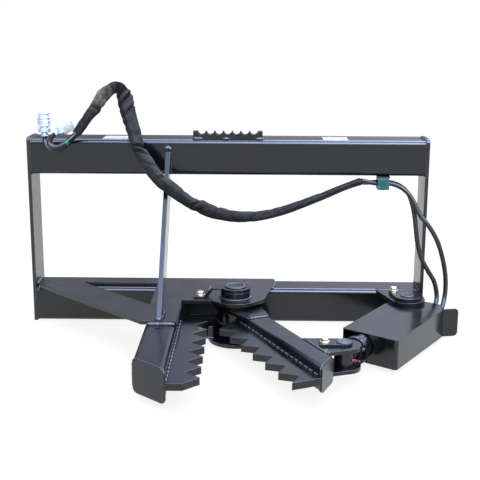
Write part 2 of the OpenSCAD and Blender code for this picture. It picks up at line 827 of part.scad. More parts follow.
module dust_cap() color(blue) at_male() translate([0, 0, hex_end]) difference() {
  cylinder(r = core_r + cap_wall, h = cap_l);
  translate([0, 0, -over]) cylinder(r = core_r, h = cap_l - cap_wall + over);
}

// Swinging jaw

module swing_body(l) translate([0, 0, swing_z + swing_h]) bar_x(swing_tube, swing_r, l);
module swing_tube_arm() {
  run = cap_run(swing_cut, swing_tube);
  color(gloss) on_swing() intersection() {
    translate([0, 0, swing_z + swing_h]) tube_x(swing_tube, swing_wall, swing_r, swing_l);
    linear_extrude(tube) polygon([
      [swing_start, -swing_h], [swing_start, swing_h], [swing_l - swing_cut - run, swing_h],
      [swing_l - run, -swing_h]
    ]);
  }
}
module swing_cap() {
  run = cap_run(swing_cut, swing_tube);
  color(black) on_swing() intersection() {
    swing_body(swing_l + over);
    linear_extrude(tube) polygon([
      [swing_l - run, -swing_h], [swing_l - swing_cut - run, swing_h], [swing_l - swing_cut, swing_h],
      [swing_l, -swing_h]
    ]);
  }
}
module swing_teeth() color(black) on_swing() translate([swing_l, -swing_h, tooth_z])
  rotate(180) linear_extrude(tooth_t) tooth_bar_outline();
module swing_hub() color(black) on_swing() ring(hub_d/2, pin_r + bush_t, hub_bot, hub_top - hub_bot);
module hub_bushings() color(bronze) on_swing() for (z = [hub_bot, hub_top - bush_l])
  ring(pin_r + bush_t, pin_r + run_fit, z, bush_l);
flare = touch([swing_start, swing_h], [0, 0], hub_plate_r, 1);
module hub_plates() color(black) on_swing() difference() {
  union() {
    for (z = [swing_z, hub_top - ear_t])
      translate([0, 0, z]) linear_extrude(ear_t) polygon(concat(
        [[swing_start, -swing_h], [swing_start, swing_h]],
        arc([0, 0], hub_plate_r, flare, 360 - flare)
      ));
    translate([0, -web_t/2, swing_z]) cube([swing_start, web_t, swing_tube]);
  }
  translate([0, 0, -over]) cylinder(r = hub_d/2, h = tube + 2*over);
}

module rod_ear(z) color(black) on_swing() difference() {
  translate([0, 0, z]) linear_extrude(ear_t) polygon(concat(
    [[ear_a.x, ear_root], ear_a],
    arc(rod_pin, ear_r, touch(ear_a, rod_pin, ear_r, -1) + 360, touch(ear_b, rod_pin, ear_r, 1)),
    [ear_b, [ear_b.x, ear_root]]
  ));
  swing_body(swing_l);
  hole(rod_pin, small_r + run_fit, z, ear_t);
  if (z > swing_z) hole(rod_bolt_at(), bolt_r + run_fit, z, ear_t);
}
module rod_ear_upper() rod_ear(hub_top - ear_t);
module rod_ear_lower() rod_ear(swing_z);
function rod_bolt_at() = rod_pin - bar_flag_bolt*[sin(open_angle), cos(open_angle)];
module rod_pin_shaft() color(steel) on_swing()
  translate([rod_pin.x, rod_pin.y, swing_z - rod_pin_under])
    cylinder(r = small_r, h = swing_tube + rod_pin_under + bar_flag_t + weld_h);
module rod_pin_flag() color(black) on_swing() difference() {
  translate([rod_pin.x, rod_pin.y, hub_top]) rotate(90 - open_angle) linear_extrude(bar_flag_t) {
    circle(bar_flag_w/2);
    translate([-bar_flag_l, -bar_flag_w/2]) square([bar_flag_l, bar_flag_w]);
  }
  hole(rod_pin, small_r, hub_top, bar_flag_t);
  hole(rod_bolt_at(), bolt_r + bolt_clear, hub_top, bar_flag_t);
}
module rod_flag_bolt() color(zinc) on_swing()
  translate(concat(rod_bolt_at(), hub_top + bar_flag_t)) flag_bolt(bar_flag_t + ear_t);

// Cylinder

module rod_x(r, from, to) translate([from, 0, 0]) rotate([0, 90, 0]) cylinder(r = r, h = to - from);
module base_eye_body(r) translate([0, 0, base_eye_bot - cyl_z])
  cylinder(r = r, h = base_eye_top - base_eye_bot);
module barrel() color(black) on_cylinder() difference() {
  rod_x(barrel_d/2, barrel_start, gland_back);
  rod_x(bore_d/2, base_wall, gland_back + over);
  base_eye_body(eye_r);
}
module gland() color(black) on_cylinder() difference() {
  union() {
    rod_x(gland_d/2, gland_back, gland_back + gland_l);
    rod_x(bore_d/2, gland_back - spigot_l, gland_back);
    rod_x(rod_d/2 + gland_nose_wall, gland_back, gland_back + gland_l + gland_nose_l);
  }
  rod_x(rod_d/2 + run_fit, gland_back - spigot_l - over, gland_back + gland_l + gland_nose_l + over);
}
module base_eye() color(black) on_cylinder() difference() {
  base_eye_body(eye_r);
  translate([0, 0, -cyl_z]) cylinder(r = small_r + eye_bush_t, h = tube);
}
module base_eye_bushing() color(bronze) on_cylinder() difference() {
  base_eye_body(small_r + eye_bush_t);
  translate([0, 0, -cyl_z]) cylinder(r = small_r + run_fit, h = tube);
}
module port_elbows() color(steel) on_cylinder() difference() {
  for (x = [port_base, port_rod])
    translate([x, 0, 0]) {
      rotate([-90, 0, 0]) cylinder(r = port_r, h = barrel_d/2 + port_h);
      translate([-elbow_bend, barrel_d/2 + port_h, 0]) rotate_extrude(angle = 90)
        translate([elbow_bend, 0]) circle(elbow_r);
    }
  rod_x(barrel_d/2, 0, gland_back);
}
hose_y = barrel_d/2 + port_h + elbow_bend;
module hose_crimps() color(zinc) on_cylinder() for (x = [port_base, port_rod])
  translate([0, hose_y, 0]) rod_x(crimp_r, x - elbow_bend - crimp_l, x - elbow_bend);

// The front panel's lean, the middle of its bend, and its plan drawn t inside the sheet's outer face
lean = atan(guard_slant/guard_w);
bend_at = [guard_l - guard_bend*(1 + sin(lean))/cos(lean), guard_out - guard_bend];
function front_x(y, t) = guard_l - (guard_out - y)*tan(lean) - t/cos(lean);
module guard_outline() polygon(concat(
  [[front_x(-guard_side, 0), -guard_side]],
  arc(bend_at, guard_bend, -lean, 90),
  [[guard_step, guard_out], [-guard_bevel.x, guard_out - guard_bevel.y],
   [-guard_rear, guard_notch - guard_side], [-guard_rear, -guard_side]]
));
module guard_cavity() {
  narrow = guard_t - guard_side;
  polygon(concat(
    [[-guard_l, narrow], [2*guard_l, narrow], [2*guard_l, panel_edge],
     [front_x(panel_edge, guard_t), panel_edge]],
    arc(bend_at, guard_bend - guard_t, -lean, 90),
    [[-guard_l, guard_out - guard_t]]
  ));
}
module cylinder_guard() {
  h = guard_top - guard_bot;
  color(gloss) on_guard() {
    difference() {
      translate([0, 0, guard_bot]) linear_extrude(h) guard_outline();
      translate([0, 0, guard_bot + guard_t]) linear_extrude(h - 2*guard_t) guard_cavity();
      translate([0, 0, -over]) cylinder(r = small_r + run_fit, h = tube);
      intersection() {
        translate([0, -guard_side, guard_bot + guard_t]) cube([2*guard_l, guard_w, h - 2*guard_t]);
        translate([0, 0, cyl_z]) rotate([0, 90, guard_skew]) cylinder(r = barrel_d/2 + over, h = 2*guard_l);
      }
    }
    translate([guard_step, guard_out - guard_t, guard_bot]) rotate([90, 0, 135]) linear_extrude(guard_t) {
      square([lip_l - lip_r, h]);
      translate([0, lip_r]) square([lip_l, h - 2*lip_r]);
      for (z = [lip_r, h - lip_r]) translate([lip_l - lip_r, z]) circle(lip_r);
    }
  }
}

// Rod

module rod_eye_body(r) translate([cyl_l, 0, swing_z + ear_t + eye_gap - cyl_z])
  cylinder(r = r, h = swing_tube - 2*ear_t - 2*eye_gap);
module piston_rod() color(steel) on_cylinder() difference() {
  rod_x(rod_d/2, piston_x + piston_l, cyl_l - small_r - eye_slack);
  rod_eye_body(eye_r);
}
module rod_eye() color(black) on_cylinder() difference() {
  rod_eye_body(eye_r);
  translate([cyl_l, 0, -cyl_z]) cylinder(r = small_r + eye_slack, h = tube);
}
module piston() color(steel) on_cylinder() rod_x(bore_d/2 - piston_gap, piston_x, piston_x + piston_l);
module grease_nipple() color(red) on_cylinder() difference() {
  translate([cyl_l, 0, 0]) rotate([-90, 0, 0]) cylinder(r = nipple_r, h = eye_r + nipple_h);
  rod_eye_body(eye_r);
}

top_beam();
bottom_beam();
left_side_plate();
right_side_plate();
step_grip();
coupler_hook();
coupler_sill();
upper_pivot_plate();
lower_pivot_plate();
fixed_jaw_tube();
fixed_jaw_cap();
fixed_jaw_teeth();
brace_bar();
pivot_boss();
foot_collar();
main_pin();
main_pin_flag();
flag_bolts();
thrust_washers();
jaw_stop();
base_ear_upper();
base_ear_lower();
base_pin();
base_pin_flag();
clamp_bracket();
hose_clamp();
clamp_bolt();
blank_labels();
hose_sleeve();
coupler_hoses();
clamp_hoses();
female_coupler();
coupler_collar();
male_coupler();
dust_cap();
hose_ferrules();
swing_tube_arm();
swing_cap();
swing_hub();
hub_plates();
hub_bushings();
swing_teeth();
rod_ear_upper();
rod_ear_lower();
rod_pin_shaft();
rod_pin_flag();
rod_flag_bolt();
barrel();
gland();
base_eye();
base_eye_bushing();
port_elbows();
hose_crimps();
cylinder_guard();
cylinder_hoses();
piston_rod();
rod_eye();
piston();
grease_nipple();
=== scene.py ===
import json
import math

import bmesh
import bpy
import numpy as np
from mathutils import Matrix, Vector


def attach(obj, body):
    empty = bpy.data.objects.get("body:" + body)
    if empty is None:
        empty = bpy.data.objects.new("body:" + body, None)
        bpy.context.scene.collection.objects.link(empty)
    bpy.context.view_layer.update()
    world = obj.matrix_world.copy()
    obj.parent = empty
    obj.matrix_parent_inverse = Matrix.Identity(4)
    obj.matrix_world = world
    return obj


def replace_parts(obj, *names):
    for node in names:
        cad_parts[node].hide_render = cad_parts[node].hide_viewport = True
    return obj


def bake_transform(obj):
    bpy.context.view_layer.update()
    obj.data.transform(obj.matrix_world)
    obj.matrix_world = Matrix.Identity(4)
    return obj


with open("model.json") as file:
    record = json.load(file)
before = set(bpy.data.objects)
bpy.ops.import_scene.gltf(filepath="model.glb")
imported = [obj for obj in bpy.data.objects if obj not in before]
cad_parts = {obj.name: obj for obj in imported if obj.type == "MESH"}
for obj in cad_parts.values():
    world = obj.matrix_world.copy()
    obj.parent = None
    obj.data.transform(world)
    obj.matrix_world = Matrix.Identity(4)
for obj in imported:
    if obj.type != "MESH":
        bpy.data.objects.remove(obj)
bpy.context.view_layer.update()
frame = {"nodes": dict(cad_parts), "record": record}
scene = bpy.context.scene
scene.view_settings.view_transform = "Standard"
print("frame loaded:", len(frame["nodes"]), "parts")


# Places. Measures are in mm from the front of the tubes, at the frame's middle, on the ground

machineMiddle = (37.5348, -250.7)
jawPivot = {"at": (26.0, -116.0), "angle": 25.2}
rodPin = {"at": (434, 100.5), "flagTop": 101.3, "boltReach": 48}  # in the jaw's own measures
cylinderBase = {"at": (518.0, -85.0), "way": (-0.493757, -0.8696), "height": 57.5, "length": 438.02}
jawTurn = math.radians(jawPivot["angle"])


def at(x, y, z):
    return Vector(((x - machineMiddle[0]) / 1000, (y - machineMiddle[1]) / 1000, z / 1000))


def onJaw(x, y, z):
    px, py = jawPivot["at"]
    c, s = math.cos(jawTurn), math.sin(jawTurn)
    return at(px + x * s + y * c, py - x * c + y * s, z)


def onCylinder(x, y, z):
    px, py = cylinderBase["at"]
    cx, cy = cylinderBase["way"]
    return at(px + x * cx - y * cy, py + x * cy + y * cx, z + cylinderBase["height"])


# Camera

cameraLook = {"place": (73.15, -2643.33, 858.35), "yaw": -0.0139, "down": 0.2261, "roll": 0.0046,
              "lens": 69.44, "sensor": 36, "reach": 60}


def makeCamera():
    yaw, down, roll = cameraLook["yaw"], cameraLook["down"], cameraLook["roll"]
    level = Vector((math.sin(yaw), math.cos(yaw), 0))
    right = Vector((math.cos(yaw), -math.sin(yaw), 0))
    ahead = level * math.cos(down) - Vector((0, 0, 1)) * math.sin(down)
    up = right.cross(ahead)
    across = right * math.cos(roll) + up * math.sin(roll)
    upright = up * math.cos(roll) - right * math.sin(roll)
    data = bpy.data.cameras.new("camera")
    data.lens = cameraLook["lens"]
    data.sensor_width = cameraLook["sensor"]
    data.clip_end = cameraLook["reach"]
    camera = bpy.data.objects.new("camera", data)
    scene.collection.objects.link(camera)
    turned = Matrix((across, upright, -ahead)).transposed().to_4x4()
    camera.matrix_world = Matrix.Translation(at(*cameraLook["place"])) @ turned
    scene.camera = camera


makeCamera()
print("camera set")


# Nodes for materials and shapes

def put(tree, kind, settings=None, **inputs):
    made = tree.nodes.new(kind)
    for key, value in (settings or {}).items():
        setattr(made, key, value)
    for key, value in inputs.items():
        numbered = key[0] == "i" and key[1:].isdigit()
        socket = made.inputs[int(key[1:]) if numbered else key.replace("_", " ")]
        if isinstance(value, bpy.types.NodeSocket):
            tree.links.new(value, socket)
        else:
            socket.default_value = value
    return made


def sums(tree, what, a, b=0.0):
    return put(tree, "ShaderNodeMath", {"operation": what}, i0=a, i1=b).outputs[0]


def times(tree, a, b):
    return sums(tree, "MULTIPLY", a, b)


def plus(tree, a, b):
    return sums(tree, "ADD", a, b)


def noise(tree, where, scale, detail, roughness):
    made = put(tree, "ShaderNodeTexNoise", i0=where, Scale=scale, Detail=detail, Roughness=roughness)
    return made.outputs["Fac"]


def spread(tree, value, low, high, fromLow=0.3, fromHigh=0.7):
    return put(tree, "ShaderNodeMapRange", Value=value, From_Min=fromLow, From_Max=fromHigh,
               To_Min=low, To_Max=high).outputs["Result"]


def stretched(tree, where, scale, turn=0.0):
    return put(tree, "ShaderNodeMapping", Vector=where, Rotation=(0, 0, turn), Scale=scale).outputs[0]


def marked(tree, label):
    return put(tree, "ShaderNodeAttribute", {"attribute_name": label}).outputs["Fac"]


def ramp(tree, factor, stops):
    made = put(tree, "ShaderNodeValToRGB", i0=factor)
    while len(made.color_ramp.elements) < len(stops):
        made.color_ramp.elements.new(0.5)
    for element, (place, tone) in zip(made.color_ramp.elements, stops):
        element.position = place
        element.color = (*tone, 1)
    return made.outputs["Color"]


def mixTone(tree, factor, a, b):
    made = put(tree, "ShaderNodeMix", {"data_type": "RGBA"}, Factor=factor)
    for key, value in ((6, a), (7, b)):
        if isinstance(value, bpy.types.NodeSocket):
            tree.links.new(value, made.inputs[key])
        else:
            made.inputs[key].default_value = (*value, 1)
    return made.outputs[2]


# Materials

def blank(name, edge=None):
    made = bpy.data.materials.new(name)
    made.use_nodes = True
    tree = made.node_tree
    tree.nodes.clear()
    out = put(tree, "ShaderNodeOutputMaterial")
    skin = put(tree, "ShaderNodeBsdfPrincipled")
    tree.links.new(skin.outputs[0], out.inputs["Surface"])
    coords = put(tree, "ShaderNodeTexCoord").outputs
    rounded = put(tree, "ShaderNodeBevel", {"samples": 4}, Radius=edge).outputs["Normal"] if edge else None
    return made, tree, skin, coords, rounded


def surface(tree, skin, tone, rough, height, strength, distance, rounded=None):
    tree.links.new(tone, skin.inputs["Base Color"])
    tree.links.new(rough, skin.inputs["Roughness"])
    bump = put(tree, "ShaderNodeBump", Strength=strength, Distance=distance, Height=height)
    if rounded is not None:
        tree.links.new(rounded, bump.inputs["Normal"])
    tree.links.new(bump.outputs[0], skin.inputs["Normal"])


# Powder coat: smooth gloss with a faint orange peel and thin dust. Edges are rounded over and a little
# rubbed, and the upright faces of cut plates show the lines of their cutting
coatGrain = {"clouds": 5.5, "specks": 120, "gloss": 14, "peel": 420, "cut": (420, 420, 9), "depth": 0.0006,
             "bare": 0.08, "rub": 0.10, "mirror": 1.52}


def powderCoat(name, tone, dustTone, dust, roughness, peel=0.045, edge=0.0024, cutLines=0.0):
    made, tree, skin, coords, rounded = blank(name, edge)
    place = coords["Object"]
    flat = put(tree, "ShaderNodeNewGeometry").outputs["Normal"]
    kept = put(tree, "ShaderNodeVectorMath", {"operation": "DOT_PRODUCT"}, i0=rounded, i1=flat)
    worn = spread(tree, kept.outputs["Value"], 1.0, 0.0, 0.86, 0.995)
    speck = noise(tree, place, coatGrain["specks"], 4, 0.7)
    drift = spread(tree, noise(tree, place, coatGrain["clouds"], 6, 0.62), 0.15, 1, 0.42, 0.68)
    dusted = times(tree, times(tree, drift, spread(tree, speck, 0.35, 1, 0.4, 0.62)), dust)
    coat = mixTone(tree, dusted, tone, dustTone)
    scuffed = times(tree, times(tree, worn, spread(tree, speck, 0.2, 1)), coatGrain["rub"])
    shown = mixTone(tree, scuffed, coat, tuple(coatGrain["bare"] + 2 * c for c in tone))
    rough = spread(tree, noise(tree, place, coatGrain["gloss"], 5, 0.6), roughness - 0.03, roughness + 0.06)
    height = noise(tree, place, coatGrain["peel"], 1.5, 0.5)
    if cutLines:
        lines = noise(tree, stretched(tree, place, coatGrain["cut"]), 1.0, 2, 0.6)
        level = sums(tree, "ABSOLUTE", put(tree, "ShaderNodeSeparateXYZ", i0=flat).outputs["Z"])
        height = plus(tree, height, times(tree, lines, spread(tree, level, cutLines, 0.0, 0.2, 0.6)))
    rough = plus(tree, rough, times(tree, dusted, 0.5))
    surface(tree, skin, shown, rough, height, peel, coatGrain["depth"], rounded)
    skin.inputs["IOR"].default_value = coatGrain["mirror"]
    return made


metalGrain = {"clouds": 38, "edge": 0.0008, "depth": 0.0003}


def metal(name, tone, tarnish, roughness, grain=260, stretch=(1, 1, 1), bumpy=0.05):
    made, tree, skin, coords, rounded = blank(name, metalGrain["edge"])
    scratches = noise(tree, stretched(tree, coords["Object"], stretch), grain, 3, 0.6)
    cloud = spread(tree, noise(tree, coords["Object"], metalGrain["clouds"], 5, 0.65), 0, 1, 0.4, 0.72)
    rough = spread(tree, scratches, roughness - 0.06, roughness + 0.12)
    shown = mixTone(tree, cloud, tone, tarnish)
    surface(tree, skin, shown, rough, scratches, bumpy, metalGrain["depth"], rounded)
    skin.inputs["Metallic"].default_value = 1.0
    return made


mouldGrain = {"clouds": 60, "grain": 900, "bump": 0.12, "depth": 0.0003}


def moulded(name, tone, faded, roughness, edge=0.0012):
    made, tree, skin, coords, rounded = blank(name, edge)
    fine = noise(tree, coords["Object"], mouldGrain["grain"], 2, 0.5)
    cloud = spread(tree, noise(tree, coords["Object"], mouldGrain["clouds"], 5, 0.6), 0, 1, 0.35, 0.7)
    rough = spread(tree, fine, roughness - 0.05, roughness + 0.08)
    shown = mixTone(tree, cloud, tone, faded)
    surface(tree, skin, shown, rough, fine, mouldGrain["bump"], mouldGrain["depth"], rounded)
    return made


# Hose cover: smooth dusty rubber with the faint spiral of its curing wrap, on the tube's own UV in metres
rubberLook = {"wrap": (1, 26, 1), "clouds": 22, "grain": 480, "tone": (0.012, 0.012, 0.012),
              "dusty": (0.034, 0.032, 0.031), "roughness": (0.30, 0.42), "depth": 0.0005}


def hoseRubber(name):
    made, tree, skin, coords, _ = blank(name)
    look, place = rubberLook, coords["Object"]
    turn = stretched(tree, coords["UV"], look["wrap"])
    wrap = put(tree, "ShaderNodeTexWave", {"bands_direction": "DIAGONAL"}, i0=turn, Scale=1.0, Distortion=0.6)
    cloud = spread(tree, noise(tree, place, look["clouds"], 5, 0.65), 0, 1, 0.42, 0.7)
    fine = noise(tree, place, look["grain"], 2, 0.5)
    height = plus(tree, times(tree, wrap.outputs["Fac"], 0.7), times(tree, fine, 0.5))
    tone = mixTone(tree, cloud, look["tone"], look["dusty"])
    surface(tree, skin, tone, spread(tree, fine, *look["roughness"]), height, 0.10, look["depth"])
    return made


# Woven nylon sleeve: crossing yarns on the tube's own UV, satin streaks along it, dust where it was laid down,
# and painted shade that darkens it in its creases
nylonLook = {"yarns": 130, "streaks": (150, 9, 1), "blotches": 30, "between": (0.005, 0.005, 0.006),
             "yarn": (0.016, 0.016, 0.019), "dust": (0.55, 0.52, 0.50), "creaseShadeTone": (0.002, 0.002, 0.0025),
             "satin": (0.40, 0.62), "depth": 0.0007, "mirror": 0.12,
             "sheen": {"Weight": 0.05, "Roughness": 0.45, "Tint": (0.72, 0.78, 0.92, 1)}}


def wovenNylon(name):
    made, tree, skin, coords, _ = blank(name)
    look, yarns = nylonLook, []
    for turn in (math.pi / 4, 3 * math.pi / 4):
        laid = stretched(tree, coords["UV"], (1, 1, 1), turn)
        yarn = put(tree, "ShaderNodeTexWave", i0=laid, Scale=look["yarns"], Distortion=0.25, Detail=1.0)
        yarns.append(yarn.outputs["Fac"])
    weave = times(tree, *yarns)
    streak = noise(tree, stretched(tree, coords["UV"], look["streaks"]), 1.0, 4, 0.6)
    blotch = spread(tree, noise(tree, coords["Object"], look["blotches"], 6, 0.68), 0.35, 1, 0.36, 0.58)
    streaked = times(tree, blotch, spread(tree, streak, 0.5, 1, 0.35, 0.58))
    dust, creaseShade = times(tree, marked(tree, "dusty"), streaked), marked(tree, "creaseShade")
    dusted = mixTone(tree, dust, mixTone(tree, weave, look["between"], look["yarn"]), look["dust"])
    dull = plus(tree, times(tree, dust, 0.25), times(tree, creaseShade, 0.4))
    rough = plus(tree, spread(tree, streak, *look["satin"], 0.35, 0.65), dull)
    height = plus(tree, times(tree, weave, 0.7), times(tree, streak, 1.2))
    # painted shade: where the crease mask is high, the cloth is mixed towards a near-black tone
    surface(tree, skin, mixTone(tree, creaseShade, dusted, look["creaseShadeTone"]), rough, height, 0.4, look["depth"])
    skin.inputs["Specular IOR Level"].default_value = look["mirror"]
    for key, value in look["sheen"].items():
        skin.inputs["Sheen " + key].default_value = value
    return made


finishes = {
    "gloss_black_paint": powderCoat("glossBlackCoat", (0.005, 0.0063, 0.010), (0.08, 0.085, 0.10),
                                    0.08, 0.14),
    "black_paint": powderCoat("satinBlackCoat", (0.005, 0.0055, 0.0072), (0.08, 0.08, 0.088),
                              0.08, 0.155, cutLines=1.0),
    "pin_steel": metal("turnedPinSteel", (0.17, 0.185, 0.21), (0.09, 0.09, 0.10), 0.30, stretch=(1, 1, 12)),
    "chrome_rod": metal("groundChrome", (0.78, 0.80, 0.84), (0.62, 0.64, 0.68), 0.13, grain=500, bumpy=0.02),
    "zinc_plate": metal("yellowZinc", (0.72, 0.62, 0.43), (0.50, 0.39, 0.25), 0.38),
    "coupler_steel": metal("brightZincNickel", (0.68, 0.77, 0.84), (0.40, 0.51, 0.60), 0.34),
    "bronze": metal("bearingBronze", (0.62, 0.42, 0.20), (0.34, 0.22, 0.11), 0.38),
    "hose_rubber": hoseRubber("hoseRubber"),
    "sleeve_fabric": wovenNylon("wovenNylonSleeve"),
    "clamp_plastic": moulded("tealClampPlastic", (0.018, 0.155, 0.165), (0.040, 0.215, 0.220), 0.42),
    "cap_plastic": moulded("paleBlueCap", (0.90, 0.98, 1.0), (0.80, 0.92, 0.98), 0.3),
    "nipple_cap": moulded("redNippleCap", (0.52, 0.02, 0.03), (0.62, 0.06, 0.06), 0.35),
    "blank_label": moulded("blankFilm", (0.88, 0.88, 0.86), (0.78, 0.78, 0.77), 0.38, edge=0.0003),
}
platePaint = powderCoat("dustyPlateCoat", (0.010, 0.0095, 0.010), (0.10, 0.092, 0.090),
                        0.16, 0.165, cutLines=1.0)
sidePaint = powderCoat("sidePlateCoat", (0.012, 0.012, 0.011), (0.15, 0.145, 0.135),
                       0.25, 0.20, cutLines=0.8)
# Weld beads: the black coat with a lighter, bluer tone, a painted highlight standing in for the sky glinting
# on the bead ripples
weldHighlightPaint = powderCoat("coatedWeldPaintedHighlight", (0.050, 0.058, 0.075), (0.16, 0.17, 0.20),
                       0.1, 0.14, peel=0.03, edge=0.0002)
tapeGreen = moulded("greenTape", (0.02, 0.26, 0.10), (0.08, 0.40, 0.20), 0.45)
slotOf = {part["node"]: part["material_slot"] for part in frame["record"]["subparts"]}
ownFinish = {"upper_pivot_plate": platePaint, "left_side_plate": sidePaint, "right_side_plate": sidePaint,
             "main_pin": finishes["gloss_black_paint"], "base_pin": finishes["gloss_black_paint"]}


def dress(obj, finish):
    obj.data.materials.clear()
    obj.data.materials.append(finish)


for nodeName, nodeObject in frame["nodes"].items():
    dress(nodeObject, ownFinish.get(nodeName, finishes[slotOf[nodeName]]))
print("materials made:", len(bpy.data.materials))


# Sweeps, turned pieces and other plain makers

def link(name, mesh, body, slotName=None, finish=None):
    obj = bpy.data.objects.new(name, mesh)
    scene.collection.objects.link(obj)
    dress(obj, finish or finishes[slotName])
    if body:
        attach(obj, body)
    return obj


def meshFrom(name, points, faces, smoothAngle=35):
    mesh = bpy.data.meshes.new(name)
    mesh.from_pydata([tuple(p) for p in points], [], faces)
    work = bmesh.new()
    work.from_mesh(mesh)
    bmesh.ops.remove_doubles(work, verts=work.verts, dist=0.00001)
    bmesh.ops.triangulate(work, faces=[f for f in work.faces if len(f.verts) > 4])
    bmesh.ops.recalc_face_normals(work, faces=work.faces)
    work.to_mesh(mesh)
    work.free()
    mesh.shade_smooth()
    mesh.set_sharp_from_angle(angle=math.radians(smoothAngle))
    return mesh


def arc(x, y, radius, start, end, steps):
    turns = [math.radians(start + (end - start) * k / steps) for k in range(steps + 1)]
    return [(x + radius * math.cos(a), y + radius * math.sin(a)) for a in turns]


# How far along a line each of its points lies
def runOf(line):
    return np.concatenate([[0], np.cumsum(np.linalg.norm(np.diff(line, axis=0), axis=1))])


def lengthOf(line):
    return float(runOf(line)[-1])


# A smooth line through chosen points, with its points about step apart
def smoothLine(points, step):
    p = np.array([tuple(q) for q in points], float)
    gaps = np.sqrt(np.linalg.norm(np.diff(p, axis=0), axis=1))
    t = np.concatenate([[0], np.cumsum(gaps)])
    slopes = np.zeros_like(p)
    for i in range(1, len(p) - 1):
        a, b = t[i] - t[i - 1], t[i + 1] - t[i]
        slopes[i] = ((p[i] - p[i - 1]) / a * b + (p[i + 1] - p[i]) / b * a) / (a + b)
    slopes[0] = 2 * (p[1] - p[0]) / (t[1] - t[0]) - slopes[1]
    slopes[-1] = 2 * (p[-1] - p[-2]) / (t[-1] - t[-2]) - slopes[-2]
    fine = []
    for i in range(len(p) - 1):
        h = t[i + 1] - t[i]
        for u in np.linspace(0, 1, 24, endpoint=False):
            fine.append((2 * u**3 - 3 * u**2 + 1) * p[i] + (u**3 - 2 * u**2 + u) * h * slopes[i]
                        + (3 * u**2 - 2 * u**3) * p[i + 1] + (u**3 - u**2) * h * slopes[i + 1])
    fine = np.array([*fine, p[-1]])
    run = runOf(fine)
    stops = np.linspace(0, run[-1], max(8, round(run[-1] / step)))
    return np.stack([np.interp(stops, run, fine[:, k]) for k in range(3)], axis=1)


# Side and up directions along a line, without twist, or held to a chosen direction of view
def rails(line, view=None):
    way = np.gradient(line, axis=0)
    way /= np.linalg.norm(way, axis=1)[:, None]
    if view is not None:
        side = np.cross(way, np.array(view, float))
        side /= np.linalg.norm(side, axis=1)[:, None]
        return side, np.cross(side, way)
    side = [np.cross(way[0], (0.31, 0.9, 0.3))]
    side[0] /= np.linalg.norm(side[0])
    for w in way[1:]:
        s = side[-1] - w * (side[-1] @ w)
        side.append(s / np.linalg.norm(s))
    side = np.array(side)
    return side, np.cross(side, way)


# A closed tube; rings holds each ring's points in its own plane, marks the values that a material reads
def tubeMesh(name, line, rings, side, up, marks=None):
    count, around = rings.shape[:2]
    points = line[:, None, :] + rings[:, :, :1] * side[:, None, :] + rings[:, :, 1:2] * up[:, None, :]
    run, middle = runOf(line), rings[count // 2]
    girth = float(np.linalg.norm(middle - np.roll(middle, 1, axis=0), axis=1).sum())
    flat = [*points.reshape(-1, 3), line[0], line[-1]]
    faces, uvs = [], []
    for i in range(count - 1):
        for k in range(around):
            j = (k + 1) % around
            faces.append((i * around + k, i * around + j, (i + 1) * around + j, (i + 1) * around + k))
            a, b = k / around * girth, (k + 1) / around * girth
            uvs.append(((a, run[i]), (b, run[i]), (b, run[i + 1]), (a, run[i + 1])))
    for k in range(around):
        j = (k + 1) % around
        faces.append((count * around, j, k))
        faces.append((count * around + 1, (count - 1) * around + k, (count - 1) * around + j))
        uvs += [((0, 0), (0.001, 0), (0, 0.001))] * 2
    mesh = bpy.data.meshes.new(name)
    mesh.from_pydata([tuple(p) for p in flat], [], faces)
    layer = mesh.uv_layers.new(name="UVMap")
    layer.data.foreach_set("uv", np.array([c for f in uvs for p in f for c in p], np.float32))
    volume = sum(Vector(flat[f[0]]).dot(Vector(flat[f[1]]).cross(Vector(flat[f[2]]))) for f in faces
                 for f in ([f] if len(f) == 3 else [f[:3], (f[0], f[2], f[3])]))
    if volume < 0:
        mesh.flip_normals()
    for label, values in (marks or {}).items():
        layer = mesh.attributes.new(label, "FLOAT", "POINT")
        layer.data.foreach_set("value", np.concatenate([values.ravel(), [0, 0]]).astype(np.float32))
    mesh.shade_smooth()
    return mesh


def roundTube(name, line, radius, around=16):
    turn = np.linspace(0, 2 * math.pi, around, endpoint=False)
    ring = radius * np.stack([np.cos(turn), np.sin(turn)], axis=1)
    return tubeMesh(name, line, np.repeat(ring[None], len(line), axis=0), *rails(line))


# A piece turned on a lathe: profile is (distance along, radius) in mm, and lobes makes it other than round
def turned(name, profile, foot, axis, body, slotName, sides=40, lobes=None):
    axis = Vector(axis).normalized()
    side = axis.orthogonal().normalized()
    other = axis.cross(side)
    points, faces = [], []
    for along, radius in profile:
        for k in range(sides):
            a = 2 * math.pi * (k + 0.5) / sides
            r = radius / 1000 * (lobes(a, along) if lobes else 1)
            points.append(foot + axis * (along / 1000) + (side * math.cos(a) + other * math.sin(a)) * r)
    for i in range(len(profile) - 1):
        for k in range(sides):
            j = (k + 1) % sides
            faces.append((i * sides + k, i * sides + j, (i + 1) * sides + j, (i + 1) * sides + k))
    return link(name, meshFrom(name, points, faces), body, slotName)


# Hoses. The chosen points are those of the solids

